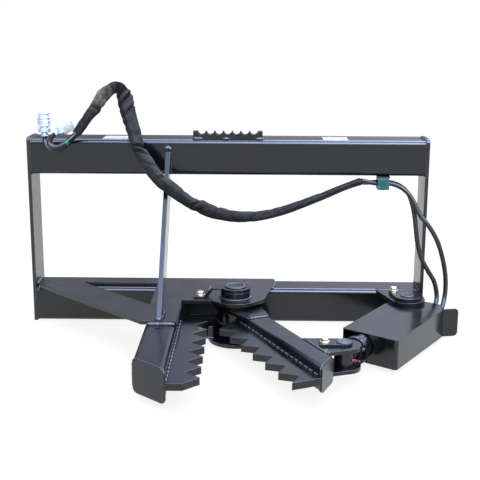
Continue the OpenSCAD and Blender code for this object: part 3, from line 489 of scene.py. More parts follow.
hoseSize = {"diameter": 13.5, "step": 0.004, "tailStep": 0.003}
sleeveRoute = [
    (-432, -12, 559), (-407, -4, 595), (-378, 2, 632), (-353, 4, 665), (-330, 3, 686), (-309, -2, 688),
    (-293, -14, 665), (-281, -32, 627), (-265, -52, 578), (-242, -72, 517), (-213, -90, 473),
    (-175, -102, 434), (-111, -106, 387), (-33, -92, 350), (62, -71, 334), (151, -53, 346.5),
    (265, -32, 384.5), (330, -18, 410), (381, -6, 427),
]
leftTail = [
    (-523, -8, 554), (-523, -8, 543), (-520, -14, 531), (-512, -23, 520), (-498, -31, 513),
    (-480, -31, 515.5), (-463, -26, 527), (-448, -15, 541), (-432, -4, 557),
]
rightTail = [
    (-482.5, -37, 563.4), (-492, -37, 557.9), (-500.5, -37.5, 546.5), (-504.5, -40, 536.5),
    (-497.5, -43, 528), (-483, -44, 524.6), (-464, -42, 532.5), (-448, -34, 545), (-432, -20, 561),
]
outerRun = [
    (383, -12, 431), (406, -5, 425), (430, 0, 421), (466, 0, 421), (496, -5, 412), (521, -13, 393),
    (539, -21, 364), (554, -28, 334), (578, -34, 305), (604, -38, 262), (621, -40, 214),
    (632, -40, 166), (636, -39, 118), (632, -46, 87), (623, -63, 67), (614, -77, 60),
]
innerRun = [
    (381.5, 0, 423.6), (404, 13, 421), (430, 22, 421), (466, 22, 421), (496, 17, 413), (521, 5, 393),
    (534, -5, 361), (541, -13, 326), (546, -19, 286), (552, -23, 246), (563, -25, 208),
    (585, -27, 168), (605, -27, 134), (613, -34, 87), (603, -52, 67), (595, -66, 60),
]
toRodPort = [
    (-43.5, 80, 2.5), (0, 80, 3), (50, 79, 3), (100, 75, 2), (150, 69, 1),
    (195, 61, 0), (220, 58, 0), (242, 58, 0),
]
toBasePort = [(-43.5, 58, 2.5), (-30, 58, 1), (-18, 58, 0), (-0.5, 58, 0)]
hoseRuns = {"hose_to_rod_port": (outerRun, toRodPort), "hose_to_base_port": (innerRun, toBasePort)}


def hose(name, line, body):
    tube = link(name, roundTube(name, line, hoseSize["diameter"] / 2000), body, "hose_rubber")
    return tube


for hoseName, (run, port) in hoseRuns.items():
    line = smoothLine([at(*p) for p in run] + [onCylinder(*p) for p in port], hoseSize["step"])
    tube = hose(hoseName, line, None)
    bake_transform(tube)
    if run is outerRun:
        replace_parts(tube, "clamp_hoses", "cylinder_hoses")

sleeveShape = {
    "around": 60, "step": 0.0022, "view": (0.05, 0.97, -0.22), "squareness": 0.86, "diameter": 0.040,
    "section": [  # (share of the length, half width outside and inside of the loop, half depth), in mm
        (0.00, 12, 13, 11), (0.03, 13, 14, 12), (0.06, 14.5, 14, 13), (0.08, 16.5, 19, 13.5),
        (0.10, 18, 17.5, 14), (0.12, 23, 18.5, 15), (0.14, 16, 19, 15), (0.16, 17, 16, 15),
        (0.18, 21.5, 17, 15), (0.20, 25, 20, 14.5), (0.22, 24, 21.5, 14), (0.24, 23, 21.5, 14),
        (0.27, 21.5, 20, 14), (0.30, 20.5, 18.5, 14.5), (0.32, 17.5, 19, 16), (0.34, 11.5, 19, 18),
        (0.36, 17.5, 18.5, 15), (0.38, 20, 17, 14.5), (0.40, 19, 18, 15), (0.42, 16.5, 18.5, 16),
        (0.44, 17, 19, 17), (0.46, 20.5, 18, 16), (0.48, 21.5, 16.5, 16), (0.50, 19.5, 15.5, 17),
        (0.52, 16.5, 15.5, 18), (0.54, 14.5, 16, 18.5), (0.56, 21, 14.5, 18), (0.58, 19.5, 16.5, 17.5),
        (0.60, 17, 16.5, 18.5), (0.62, 17.5, 15, 18), (0.65, 15, 15.5, 18.5), (0.69, 15, 13.5, 18),
        (0.74, 12.8, 13.4, 18), (0.82, 12.4, 11.8, 17.5), (0.90, 10.8, 11, 16.5), (0.96, 10.8, 10.4, 15.5),
        (1.00, 11.2, 11.2, 15.5),
    ],
    "creases": [  # (share of the length, degrees round from the outer side, slant, depth in mm, width in mm)
        (0.040, -60, 0.4, 1.4, 7), (0.084, -150, -0.5, 2.6, 6), (0.104, -20, 0.5, 1.6, 5),
        (0.138, -40, 0.7, 2.4, 6), (0.158, -95, -0.2, 2.6, 6), (0.174, -100, -0.4, 4.6, 9),
        (0.190, -70, -0.5, 4.0, 8), (0.213, -60, -0.8, 4.2, 4.5), (0.243, -50, -0.8, 3.4, 4),
        (0.268, -160, -0.5, 1.6, 6), (0.300, -30, 0.5, 1.2, 8), (0.335, -30, 0.5, 4.4, 5),
        (0.352, -100, 0.9, 2.4, 6), (0.385, -80, 1.0, 1.4, 8), (0.432, -20, 0.5, 2.4, 5),
        (0.470, -120, 0.4, 1.2, 9), (0.508, -30, -0.4, 1.4, 6), (0.543, -30, 0.5, 2.6, 5),
        (0.566, -130, 0.6, 1.6, 7), (0.600, -20, 0.5, 1.8, 5), (0.645, -60, -0.5, 1.4, 7),
        (0.700, -90, 0.5, 1.2, 8), (0.760, -40, -0.5, 1.0, 8), (0.830, -80, 0.5, 0.9, 9),
        (0.900, -60, -0.5, 0.8, 9),
    ],
    "ridges": [  # (ridges round the tube, height in mm, mm of length in one turn)
        (2, 0.9, 900), (3, 0.8, -620), (5, 0.45, 430), (8, 0.22, -300),
    ],
    "laidDown": (0.120, 0.034),  # where its dust lies: middle and spread, as shares of the length
}


def sleeveMesh(name, line):
    shape, run = sleeveShape, runOf(line)
    share = run / run[-1]
    table = np.array(shape["section"], float)
    smooth = np.hanning(13) / np.hanning(13).sum()

    def keyed(column):
        values = np.interp(share, table[:, 0], table[:, column])
        return np.convolve(np.pad(values, 6, mode="edge"), smooth, mode="valid")[:, None]

    along = run[:, None] * 1000
    theta = np.linspace(0, 2 * math.pi, shape["around"], endpoint=False)[None, :]
    c, s = np.cos(theta), np.sin(theta)
    outer, inner, deep = keyed(1), keyed(2), keyed(3)
    x = np.sign(c) * np.abs(c) ** shape["squareness"] * np.where(c > 0, outer, inner)
    y = np.sign(s) * np.abs(s) ** shape["squareness"] * deep
    swell, creaseShade = np.zeros((len(line), shape["around"])), np.zeros((len(line), shape["around"]))
    for ridges, height, turnLength in shape["ridges"]:
        swell += height * np.cos(ridges * theta + 2 * math.pi * along / turnLength + ridges)
    for place, middle, slant, depth, width in shape["creases"]:
        near = 0.5 + 0.5 * np.cos(theta - math.radians(middle))
        gap = along - place * run[-1] * 1000 - slant * x - 2 * np.sin(2 * theta + place * 40)
        swell -= depth * np.exp(-((gap / width) ** 2)) * near
        swell += 0.45 * depth * np.exp(-(((np.abs(gap) - 1.8 * width) / width) ** 2)) * near
        # painted shade: each crease also adds to a mask by which the cloth material is darkened
        creaseShade += 0.26 * depth * np.exp(-((gap / (0.95 * width)) ** 2)) * near
    swell *= np.clip(np.minimum(share, 1 - share) * 40, 0.25, 1)[:, None]
    out = np.hypot(x, y)
    rings = np.stack([x * (1 + swell / out), y * (1 + swell / out)], axis=2) / 1000
    side, up = rails(line, shape["view"])
    upward = np.clip(0.35 + 0.65 * (side[:, None, 2] * c + up[:, None, 2] * s), 0, 1)
    middle, reach = shape["laidDown"]
    dusty = (0.10 + 0.90 * np.exp(-(((share[:, None] - middle) / reach) ** 2))) * (0.45 + 0.55 * upward)
    return tubeMesh(name, line, rings, side, up, {"dusty": dusty, "creaseShade": np.clip(creaseShade, 0, 0.9)})


sleeveLine = smoothLine([at(*p) for p in sleeveRoute], sleeveShape["step"])
sleeve = link("hose_bundle_sleeve", sleeveMesh("hose_bundle_sleeve", sleeveLine), "frame", "sleeve_fabric")
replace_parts(sleeve, "hose_sleeve")
print("sleeve and hoses made:", round(lengthOf(sleeveLine), 3), "m of sleeve")


# Couplers and crimped ends

def ridged(start, end, radius, count, depth):
    profile = [(start, 0), (start, radius - 0.8), (start + 0.8, radius)]
    pitch = (end - start - 3) / count
    for i in range(count):
        z = start + 1.5 + i * pitch
        profile += [(z + 0.15 * pitch, radius), (z + 0.35 * pitch, radius - depth),
                    (z + 0.65 * pitch, radius - depth), (z + 0.85 * pitch, radius)]
    return profile + [(end - 0.8, radius), (end, radius - 0.8), (end, 0)]


maleTilt = math.radians(60)
couplerEnds = {  # where each one's hose ends, and the way it points
    "tail_left": (leftTail, (0, 0, 1)),
    "tail_right": (rightTail, (math.sin(maleTilt), 0, math.cos(maleTilt))),
}
couplerProfiles = {
    "ferrule": ridged(-2, 10, 9.5, 3, 0.6),
    "hex": [(10, 0), (10, 16.4), (11.2, 18), (20.8, 18), (22, 16.4), (22, 0)],
    "socket": [(22, 0), (22, 12.6), (52, 12.6), (53.3, 13.4), (53.3, 15.1), (56, 15.1), (57, 14.2),
               (58.5, 14.2), (59.5, 15.1), (64.2, 15.1), (65.3, 14.0), (65.3, 9.4), (64.4, 9.0), (42, 9.0),
               (42, 0)],
    "collar": [(27.4, 12.7), (27.4, 17.2), (28.2, 18), (31, 18), (31.6, 17.3), (33, 17.3), (33.6, 18),
               (44, 18), (44.6, 17.0), (47.4, 17.0), (48, 18), (51.4, 18), (52.2, 17.2), (52.2, 12.7),
               (27.4, 12.7)],
    "plug": [(22, 0), (22, 12.4), (36, 12.4), (37, 9.0), (43, 9.0), (43.5, 8.4), (43.5, 0)],
    "cap": [(22, 12.7), (22, 15.6), (23, 16.4), (25.5, 16.4), (26.4, 15.1), (48, 15.1), (50.5, 14.6),
            (52, 12.4), (52, 0), (49.5, 0), (49.5, 12.7), (22, 12.7)],
}
couplerPieces = [  # (its hose, name, profile, sides, finish, the node that it stands for)
    ("tail_left", "ferrule_left", "ferrule", 40, "coupler_steel", "hose_ferrules"),
    ("tail_left", "female_coupler_hex", "hex", 6, "coupler_steel", "female_coupler"),
    ("tail_left", "female_coupler_body", "socket", 40, "coupler_steel", None),
    ("tail_left", "coupler_sliding_collar", "collar", 144, "coupler_steel", "coupler_collar"),
    ("tail_right", "ferrule_right", "ferrule", 40, "coupler_steel", None),
    ("tail_right", "male_coupler_hex", "hex", 6, "coupler_steel", "male_coupler"),
    ("tail_right", "male_coupler_body", "plug", 40, "coupler_steel", None),
    ("tail_right", "male_coupler_cap", "cap", 40, "cap_plastic", "dust_cap"),
]
collarKnurl = {"from": 33.8, "to": 43.9, "ribs": 36, "depth": 0.022}


def knurled(a, along):
    cut = collarKnurl["from"] < along < collarKnurl["to"]
    return 1 + (collarKnurl["depth"] * math.cos(collarKnurl["ribs"] * a) if cut else 0)


fittings = {"tail_left": [], "tail_right": []}
for tailName, name, profile, sides, slotName, node in couplerPieces:
    route, way = couplerEnds[tailName]
    body, lobes = ("collar", knurled) if profile == "collar" else ("frame", None)
    piece = turned(name, couplerProfiles[profile], at(*route[0]), way, body, slotName, sides, lobes)
    fittings[tailName].append(piece)
    if node:
        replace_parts(piece, node)
for tailName, (route, _) in couplerEnds.items():
    line = smoothLine([at(*p) for p in route], hoseSize["tailStep"])
    tail = hose(tailName, line, "frame")
    if route is leftTail:
        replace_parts(tail, "coupler_hoses")

# Tape wound round the two tails just before the sleeve
tapeWrap = {"middle": (-457, -31, 536), "way": (0.62, 0.34, 0.70), "lean": (0.35, -0.88, 0.3),
            "half": (0.0185, 0.0083), "length": 0.009, "rings": 9, "around": 40}


def tapeMesh(name):
    way, lean, count = Vector(tapeWrap["way"]).normalized(), Vector(tapeWrap["lean"]), tapeWrap["rings"]
    side = (lean - way * lean.dot(way)).normalized()
    reach = tapeWrap["length"] / 2
    line = np.array([at(*tapeWrap["middle"]) + way * k for k in np.linspace(-reach, reach, count)])
    turn = np.linspace(0, 2 * math.pi, tapeWrap["around"], endpoint=False)
    a, b = tapeWrap["half"]
    ring = np.stack([a * np.sign(np.cos(turn)) * np.abs(np.cos(turn)) ** 0.8, b * np.sin(turn)], axis=1)
    rings = np.stack([ring * (1 + 0.03 * math.sin(3.1 * i)) for i in range(count)])
    return tubeMesh(name, line, rings, *(np.repeat([v], count, axis=0) for v in (side, way.cross(side))))


link("tail_tape", tapeMesh("tail_tape"), "frame", finish=tapeGreen)

crimps = {"off": 58, "radius": 10.5, "ridges": 5, "depth": 0.9,
          "spans": {"crimp_base_port": (-2, 30), "crimp_rod_port": (240, 272)}}
for crimpName, (low, high) in crimps["spans"].items():
    foot, tip = onCylinder(low, crimps["off"], 0), onCylinder(high, crimps["off"], 0)
    profile = ridged(0, high - low, crimps["radius"], crimps["ridges"], crimps["depth"])
    crimp = turned(crimpName, profile, foot, tip - foot, "cylinder", "zinc_plate")
    if crimpName == "crimp_base_port":
        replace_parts(crimp, "hose_crimps")
print("couplers and crimps made")


# Hose clamp: two halves round the hoses

clampSizes = {"at": (448, 11), "bottom": 403.4, "height": 35, "width": 32, "depth": 48, "split": 1.2,
              "corner": 4, "hoseGap": 22, "bore": 7}


def clampHalf(name, way):
    size = clampSizes
    cx, cy = size["at"]
    flat = size["bottom"] + (size["height"] + way * size["split"]) / 2
    tall, depth = (size["height"] - size["split"]) / 2, size["depth"] / 2
    r, bore, gap = size["corner"], size["bore"], size["hoseGap"] / 2
    outline = [*arc(r - depth, tall - r, r, 180, 90, 6), *arc(depth - r, tall - r, r, 90, 0, 6), (depth, 0),
               *arc(gap, 0, bore, 0, 180, 12), *arc(-gap, 0, bore, 0, 180, 12), (-depth, 0)]
    count, half = len(outline), size["width"] / 2
    points = [at(cx + x, cy + way * y, flat + way * z) for x in (-half, half) for y, z in outline]
    faces = [range(count), range(2 * count - 1, count - 1, -1)]
    faces += [(k, count + k, count + (k + 1) % count, (k + 1) % count) for k in range(count)]
    return link(name, meshFrom(name, points, [tuple(f) for f in faces], 30), "frame", "clamp_plastic")


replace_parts(clampHalf("clamp_lower_half", -1), "hose_clamp")
clampHalf("clamp_upper_half", 1)
print("hose clamp made")


# Node trees

def newTree(name, numbers):
    tree = bpy.data.node_groups.new(name, "GeometryNodeTree")
    sockets = tree.interface.new_socket
    sockets("Geometry", in_out="INPUT", socket_type="NodeSocketGeometry")
    for label, value in numbers.items():
        sockets(label, in_out="INPUT", socket_type="NodeSocketFloat").default_value = value
    sockets("Finish", in_out="INPUT", socket_type="NodeSocketMaterial")
    sockets("Geometry", in_out="OUTPUT", socket_type="NodeSocketGeometry")
    given = tree.nodes.new("NodeGroupInput")
    result = tree.nodes.new("NodeGroupOutput")
    return tree, given.outputs, result.inputs[0]


def closeTree(tree, geometry, given, result):
    whole = put(tree, "GeometryNodeRealizeInstances", i0=geometry).outputs[0]
    finished = put(tree, "GeometryNodeSetMaterial", Geometry=whole, Material=given["Finish"]).outputs[0]
    tree.links.new(finished, result)


def grown(name, points, edges, tree, numbers, body, slotName, finish=None):
    seed = bpy.data.meshes.new(name + "_lines")
    seed.from_pydata([tuple(p) for p in points], edges, [])
    carrier = bpy.data.objects.new(name + "_lines", seed)
    scene.collection.objects.link(carrier)
    grower = carrier.modifiers.new("grow", "NODES")
    grower.node_group = tree
    values = {**numbers, "Finish": finish or finishes[slotName]}
    for item in tree.interface.items_tree:
        if item.in_out == "INPUT" and item.name in values:
            grower[item.identifier] = values[item.name]
    graph = bpy.context.evaluated_depsgraph_get()
    made = carrier.evaluated_get(graph)
    mesh = bpy.data.meshes.new_from_object(made, preserve_all_data_layers=True, depsgraph=graph)
    mesh.name = name
    carrier.modifiers.remove(grower)
    bpy.data.objects.remove(carrier)
    return link(name, mesh, body, slotName, finish)


# Weld bead along lines: a tube whose radius steps at each ripple and tapers at its ends
beadInputs = {"Bead radius": 0.003, "Ripple pitch": 0.0035, "Ripple depth": 0.2}


def beadTree():
    tree, given, result = newTree("weldBead", beadInputs)
    lines = put(tree, "GeometryNodeMeshToCurve", i0=given["Geometry"]).outputs[0]
    step = sums(tree, "DIVIDE", given["Ripple pitch"], 4.0)
    fine = put(tree, "GeometryNodeResampleCurve", {"mode": "LENGTH"}, Curve=lines, Length=step).outputs[0]
    along = put(tree, "GeometryNodeSplineParameter").outputs["Length"]
    whole = put(tree, "GeometryNodeSplineLength").outputs["Length"]
    share = sums(tree, "FRACT", sums(tree, "DIVIDE", along, given["Ripple pitch"]))
    ripple = sums(tree, "SUBTRACT", 1.0, times(tree, share, given["Ripple depth"]))
    fromEnd = sums(tree, "MINIMUM", along, sums(tree, "SUBTRACT", whole, along))
    taper = sums(tree, "DIVIDE", fromEnd, times(tree, given["Bead radius"], 1.3))
    taper = sums(tree, "SQRT", sums(tree, "MINIMUM", plus(tree, taper, 0.12), 1.0))
    wander = put(tree, "ShaderNodeTexNoise", Scale=160.0, Detail=2.0).outputs["Fac"]
    wander = plus(tree, times(tree, wander, 0.5), 0.75)
    radius = times(tree, times(tree, ripple, taper), times(tree, given["Bead radius"], wander))
    sized = put(tree, "GeometryNodeSetCurveRadius", Curve=fine, Radius=radius).outputs[0]
    ring = put(tree, "GeometryNodeCurvePrimitiveCircle", Resolution=8, Radius=1.0).outputs[0]
    kept = put(tree, "GeometryNodeInputRadius").outputs[0]
    bead = put(tree, "GeometryNodeCurveToMesh", Curve=sized, Profile_Curve=ring, Scale=kept, Fill_Caps=True)
    smooth = put(tree, "GeometryNodeSetShadeSmooth", Geometry=bead.outputs[0]).outputs[0]
    closeTree(tree, smooth, given, result)
    return tree


weldBead = beadTree()


# Weld beads, each a list of points in mm. One that ends where it starts is closed

weldSizes = {
    "beads": {  # radius, ripple pitch and ripple depth
        "fine": (0.0024, 0.0075, 0.5), "plain": (0.0036, 0.0068, 0.40),
        "heavy": (0.0052, 0.0064, 0.36), "lump": (0.0064, 0.0062, 0.16),
    },
    "frameTube": 101.6, "frameTop": 543, "sidePlate": 566.4, "lowest": 2.8,
    "jawTube": 82.0, "jawMiddle": -165, "jawFoot": 19.6, "jawCap": -670.72, "jawSlant": 78,
    "swingTube": 63.5, "swingMiddle": 63.55, "swingEnd": 560, "swingSlant": 58, "swingCap": 6,
    "plateTop": 102.6, "plateUnder": 20.6, "earSpan": (444, 562),
    "dashes": 18, "fixedDashes": (-222, -25, -21), "swingDashes": (104, 24.6, 20.6),  # start, pitch and length
}
tube, jaw, swing = weldSizes["frameTube"], weldSizes["jawTube"], weldSizes["swingTube"]
plateTop, plateUnder = weldSizes["plateTop"], weldSizes["plateUnder"]
earLeft, earRight = weldSizes["earSpan"]
pivotX, pivotY = jawPivot["at"]
baseX, baseY = cylinderBase["at"]


def roundedSquare(side, radius):
    half = side / 2 - radius
    corners = ((1, 1, 0), (-1, 1, 90), (-1, -1, 180), (1, -1, 270))
    points = [p for sx, sz, start in corners for p in arc(sx * half, sz * half, radius, start, start + 90, 5)]
    return [*points, points[0]]


def ringBead(x, y, z, radius):
    points = [(px, py, z) for px, py in arc(x, y, radius, 0, 360, 40)]
    return [*points[:-1], points[0]]


frameWelds = {
    "fine": [[(x, tube / 2 + u, max(z + w, weldSizes["lowest"])) for u, w in roundedSquare(tube + 1.2, 13.2)]
             for x in (-weldSizes["sidePlate"], weldSizes["sidePlate"])
             for z in (tube / 2, weldSizes["frameTop"] - tube / 2)],
    "plain": [
        [(-566.5, 8, 112), (-566.5, 78, 112)],
        [(-560, 81.5, plateTop), (128, 81.5, plateTop)],
        [(133, 80.5, plateTop), (140, 76.5, plateTop), (143.4, 67, plateTop), (133, 3, plateTop)],
        [(-125.5, -338, 101), (-125.5, -160, 101)],
        [(-122, -1.5, plateUnder), (118, -1.5, plateUnder)],
        [(earLeft, 2.5, 100.6), (earRight, 2.5, 100.6)],
        [(earLeft, -1.5, 92), (earRight, -1.5, 92)],
        [(earLeft, -1.5, 10.8), (earRight, -1.5, 10.8)],
        [(-178.6, -330, 112.4), (-178.6, -235, 112.4)],
        [(-178.6, -1.2, 508), (-178.6, -1.2, 446)],
        [(-163.4, -1.2, 508), (-163.4, -1.2, 446)],
        ringBead(pivotX, pivotY, 112.6, 43.6),
        ringBead(pivotX, pivotY, 8.6, 50.6),
        [(-62.5, -210, plateUnder), (-49.5, -210, plateUnder), (-33, -210, plateUnder)],
        ringBead(baseX, baseY, 110.2, 16.8),
    ],
    "heavy": [[(-162.6, -325, 113.4), (-162.6, -262, 113.4)], ringBead(pivotX, pivotY, 142.4, 25.6)],
    "lump": [
        [(-203, -348.5, 103.6), (-127, -348.5, 103.6)],
        [(-181, -336, 114), (-171, -341, 114), (-161, -334, 114)],
        [(-180, -2, 508), (-177, -3.5, 518), (-171, -3.5, 521), (-165, -3.5, 518), (-162, -2, 508)],
        [(-561, -3.6, 92), (-558, -4.5, 103), (-552, -4.5, 106)],
    ],
}
for low, high in ((-101, -72), (-15, 5), (79, 101)):  # step strip
    frameWelds["lump"].append([(low, 11.4, 545), (high, 11.4, 545)])
    frameWelds["plain"].append([(low + 8, 33.4, 544), (high + 6, 33.4, 544)])
for middle in range(-520, 521, 148):  # lower sill
    frameWelds["plain"] += [[(middle - 32, 103.4, z), (middle + 32, 103.4, z)] for z in (47.2, 33)]
start, pitch, length = weldSizes["fixedDashes"]
for z in (73.2, 54.0):  # fixed toothed bar
    for y in (start + pitch * i for i in range(weldSizes["dashes"])):
        frameWelds["plain"].append([(-121.8, y, z), (-121.8, y + length, z)])

capSeam = []
for u, w in roundedSquare(jaw + 0.6, 11.2):
    x = weldSizes["jawMiddle"] + u
    y = weldSizes["jawCap"] + weldSizes["jawSlant"] * (jaw / 2 - u) / jaw
    capSeam.append((x, y, weldSizes["jawFoot"] + jaw / 2 + w))
frameWelds["fine"].append(capSeam)
frameWelds["plain"] += [capSeam[low:low + 2] for low in (9, 11, 13, 15)]
capTop = Vector(capSeam[17]), Vector(capSeam[18])
for shares in ((0.10, 0.22), (0.28, 0.40), (0.46, 0.62)):
    frameWelds["plain"].append([tuple(capTop[0].lerp(capTop[1], share)) for share in shares])

swingCapRun = weldSizes["swingCap"] * math.sqrt(1 + (weldSizes["swingSlant"] / swing) ** 2)
swingSeam = [(weldSizes["swingEnd"] - swingCapRun - weldSizes["swingSlant"] * (u / swing + 0.5), u,
              weldSizes["swingMiddle"] + w) for u, w in roundedSquare(swing + 0.6, 9.7)]
jawWelds = {
    "fine": [swingSeam],
    "plain": [
        [(358, 29.5, 94.6), (468, 29.5, 94.6)],
        [(472.5, 31, 93.6), (472.5, 40, 94.6)],
        [(358, 33.2, 42.6), (468, 33.2, 42.6)],
        ringBead(0, 0, 84.4, 50.8),
        ringBead(0, 0, 42.8, 50.8),
        ringBead(*rodPin["at"], 101.9, 16.8),
    ],
    "heavy": [[(157, -28, z), (157, 28, z)] for z in (96, 31)],
}
start, pitch, length = weldSizes["swingDashes"]
for z in (73.4, 53.8):  # swinging toothed bar
    for x in (start + pitch * i for i in range(weldSizes["dashes"])):
        jawWelds["plain"].append([(x, -33.8, z), (x + length, -33.8, z)])


def growWelds(body, place, welds):
    for size, beads in welds.items():
        points, edges = [], []
        for line in beads:
            first, closed = len(points), line[0] == line[-1]
            points += [place(*p) for p in (line[:-1] if closed else line)]
            edges += [(i, i + 1) for i in range(first, len(points) - 1)]
            if closed:
                edges.append((len(points) - 1, first))
        numbers = dict(zip(beadInputs, weldSizes["beads"][size]))
        # the beads take the lighter, bluer coat that carries the painted highlight
        made = grown(f"welds_{body}_{size}", points, edges, weldBead, numbers, body, "black_paint", weldHighlightPaint)
        print("welds", body, size, len(made.data.polygons))


growWelds("frame", at, frameWelds)
growWelds("swing_jaw", onJaw, jawWelds)


# Hexagonal flag bolts on their washers, heads up
boltSizes = {"Head radius": 0.011, "Head height": 0.008, "Washer radius": 0.013, "Washer thickness": 0.0025,
             "Shank radius": 0.006, "Shank length": 0.015}


def boltTree():
    tree, given, result = newTree("flagBolt", boltSizes)

    def drum(sides, low, high, radius, narrowed=1.0):
        top = times(tree, radius, narrowed)
        cone = put(tree, "GeometryNodeMeshCone", Vertices=sides, Radius_Top=top, Radius_Bottom=radius,
                   Depth=sums(tree, "SUBTRACT", high, low)).outputs[0]
        lift = put(tree, "ShaderNodeCombineXYZ", Z=low).outputs[0]
        return put(tree, "GeometryNodeTransform", Geometry=cone, Translation=lift).outputs[0]

    washer, head = given["Washer thickness"], given["Head height"]
    bodyTop = plus(tree, washer, times(tree, head, 0.78))
    pieces = [
        drum(36, 0.0, washer, given["Washer radius"], 0.97),
        drum(6, washer, bodyTop, given["Head radius"]),
        drum(6, bodyTop, plus(tree, washer, head), given["Head radius"], 0.86),
        drum(20, times(tree, given["Shank length"], -1.0), 0.0, given["Shank radius"]),
    ]
    joined = tree.nodes.new("GeometryNodeJoinGeometry")
    for piece in pieces:
        tree.links.new(piece, joined.inputs[0])
    spots = put(tree, "GeometryNodeMeshToPoints", Mesh=given["Geometry"], Radius=0.001).outputs[0]
    turn = put(tree, "FunctionNodeRandomValue", {"data_type": "FLOAT_VECTOR"}, Max=(0, 0, 1.05), Seed=5)
    placed = put(tree, "GeometryNodeInstanceOnPoints", Points=spots, Instance=joined.outputs[0],
                 Rotation=turn.outputs[0])
    closeTree(tree, placed.outputs[0], given, result)
    return tree


flagBolt = boltTree()
pinX, pinY = rodPin["at"]
reach = rodPin["boltReach"]
jawSpot = onJaw(pinX - reach * math.sin(jawTurn), pinY - reach * math.cos(jawTurn), rodPin["flagTop"])
for name, spots, body, node in (
    ("flag_bolt_heads", [at(-73.5, -116, 116.6), at(487, -30, 109.6)], "frame", "flag_bolts"),
    ("rod_bolt_head", [jawSpot], "swing_jaw", "rod_flag_bolt"),
):
    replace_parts(grown(name, spots, [], flagBolt, boltSizes, body, "zinc_plate"), node)
print("bolts made")


# Grease nipple with its cap, on the rod eye
smallSides = 24
nippleSizes = {
    "foot": 24.5,
    "stem": [(0, 0), (0, 3.6), (3.0, 3.6), (3.2, 2.6), (4.6, 2.6), (4.8, 0)],
    "cap": [(3.4, 0), (3.4, 4.4), (4.2, 4.9), (5.6, 4.9), (6.2, 4.2), (9.0, 3.9), (10.2, 2.6), (10.5, 0)],
}
nippleFoot = onCylinder(cylinderBase["length"], nippleSizes["foot"], 0)
nippleWay = nippleFoot - onCylinder(cylinderBase["length"], 0, 0)
turned("grease_nipple_stem", nippleSizes["stem"], nippleFoot, nippleWay, "rod", "coupler_steel", smallSides)
cap = turned("grease_nipple_cap", nippleSizes["cap"], nippleFoot, nippleWay, "rod", "nipple_cap", smallSides)
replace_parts(cap, "grease_nipple")


# Cap screws on the gland's face, with the sockets in their heads
glandScrews = {"around": (22, 125, 202, 305), "ring": 29, "face": 377.6,
               "profile": [(0, 0), (0, 4.2), (3.4, 4.2), (4.2, 3.4), (4.2, 2.1), (1.6, 2.1), (1.6, 0)]}
screwWay = onCylinder(1, 0, 0) - onCylinder(0, 0, 0)
for i, around in enumerate(glandScrews["around"]):
    a, ring = math.radians(around), glandScrews["ring"]
    foot = onCylinder(glandScrews["face"], ring * math.cos(a), ring * math.sin(a))
    name = f"gland_screw_{i + 1}"
    turned(name, glandScrews["profile"], foot, screwWay, "cylinder", "pin_steel", smallSides)
print("small fittings made")


# Floor and light

stage = {"halfSize": 30, "drop": 0.0005, "floorTone": (0.80, 0.79, 0.77), "white": 0.84, "shadow": 0.30}


def makeFloor():
    half = stage["halfSize"]
    corners = [(x * half, y * half, -stage["drop"]) for x, y in ((-1, -1), (1, -1), (1, 1), (-1, 1))]
    mesh = bpy.data.meshes.new("floor")
    mesh.from_pydata(corners, [], [(0, 1, 2, 3)])
    floor = bpy.data.objects.new("floor", mesh)
    scene.collection.objects.link(floor)
    made = bpy.data.materials.new("paleFloor")
    made.use_nodes = True
    tree = made.node_tree
    tree.nodes.clear()
    out = put(tree, "ShaderNodeOutputMaterial")
    plain = put(tree, "ShaderNodeBsdfDiffuse", Color=(*stage["floorTone"], 1)).outputs[0]
    soft = put(tree, "ShaderNodeBsdfDiffuse", Color=(stage["shadow"],) * 3 + (1,)).outputs[0]
    glow = put(tree, "ShaderNodeEmission", Color=(1, 1, 1, 1), Strength=stage["white"]).outputs[0]
    seen = put(tree, "ShaderNodeAddShader", i0=soft, i1=glow).outputs[0]
    path = put(tree, "ShaderNodeLightPath").outputs
    mirrored = sums(tree, "MAXIMUM", path["Is Glossy Ray"], path["Is Transmission Ray"])
    shown = sums(tree, "MAXIMUM", path["Is Camera Ray"], mirrored)
    whole = put(tree, "ShaderNodeMixShader", i0=shown, i1=plain, i2=seen).outputs[0]
    tree.links.new(whole, out.inputs["Surface"])
    mesh.materials.append(made)


# The sky that the gloss mirrors, by the height it is seen at: dim low down, bright and blue higher up
sky = {
    "heights": [(0.00, (0.028, 0.024, 0.025)), (0.10, (0.028, 0.024, 0.025)), (0.15, (0.038, 0.033, 0.037)),
                (0.27, (0.044, 0.043, 0.050)), (0.34, (0.048, 0.053, 0.067)), (0.50, (0.125, 0.165, 0.235)),
                (0.72, (0.46, 0.56, 0.84)), (0.88, (0.46, 0.57, 0.86)), (0.96, (0.15, 0.20, 0.31)),
                (1.00, (0.13, 0.17, 0.26))],
    "leftToRight": (0.72, 1.75, -0.14, 0.20),  # its share of strength at each side, and where the sides are
    "frontAndBack": (2.4, 1.0, -0.72, -0.46),
    "strength": 10.0, "fill": (0.88, 0.94, 1.0), "fillStrength": 0.62,
}


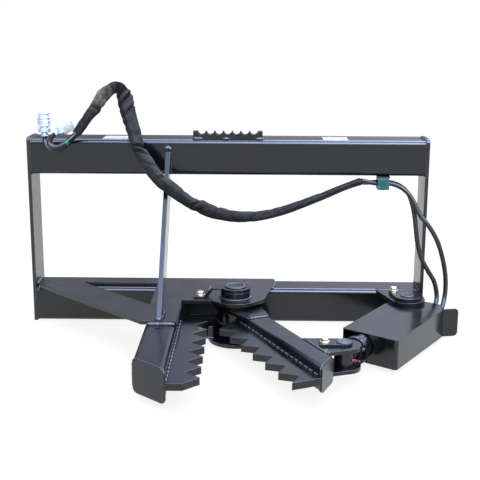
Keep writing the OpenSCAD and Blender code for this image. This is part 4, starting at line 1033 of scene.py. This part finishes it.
def makeWorld():
    world = bpy.data.worlds.new("studio")
    scene.world = world
    world.use_nodes = True
    tree = world.node_tree
    tree.nodes.clear()
    out = put(tree, "ShaderNodeOutputWorld")
    path = put(tree, "ShaderNodeLightPath").outputs
    way = put(tree, "ShaderNodeSeparateXYZ", i0=put(tree, "ShaderNodeTexCoord").outputs["Generated"]).outputs
    across = spread(tree, way["X"], *sky["leftToRight"])
    ahead = spread(tree, way["Y"], *sky["frontAndBack"])
    strength = times(tree, times(tree, across, ahead), sky["strength"])
    heights = ramp(tree, way["Z"], sky["heights"])
    mirror = put(tree, "ShaderNodeBackground", Color=heights, Strength=strength).outputs[0]
    fill = put(tree, "ShaderNodeBackground", Color=(*sky["fill"], 1), Strength=sky["fillStrength"]).outputs[0]
    white = put(tree, "ShaderNodeBackground", Color=(1, 1, 1, 1), Strength=1.0).outputs[0]
    shiny = sums(tree, "MAXIMUM", path["Is Glossy Ray"], path["Is Transmission Ray"])
    other = put(tree, "ShaderNodeMixShader", i0=shiny, i1=fill, i2=mirror).outputs[0]
    seen = put(tree, "ShaderNodeMixShader", i0=path["Is Camera Ray"], i1=other, i2=white).outputs[0]
    tree.links.new(seen, out.inputs["Surface"])


lampsLook = (0, -200, 200)
lamps = {
    "overhead": {"place": (-300, 500, 3300), "size": (3.4, 2.6), "tone": (0.88, 0.94, 1.0), "watts": 45},
    "front": {"place": (700, -3300, 2300), "size": (3.0, 1.2), "tone": (1.0, 0.98, 0.95), "watts": 26},
}


def makeLamps():
    for name, lamp in lamps.items():
        data = bpy.data.lights.new(name, "AREA")
        data.shape = "RECTANGLE"
        data.size, data.size_y = lamp["size"]
        data.color = lamp["tone"]
        data.energy = lamp["watts"]
        obj = bpy.data.objects.new(name, data)
        scene.collection.objects.link(obj)
        place = at(*lamp["place"])
        aim = (at(*lampsLook) - place).to_track_quat("-Z", "Y").to_matrix().to_4x4()
        obj.matrix_world = Matrix.Translation(place) @ aim


makeFloor()
makeWorld()
makeLamps()
print("floor and light set")
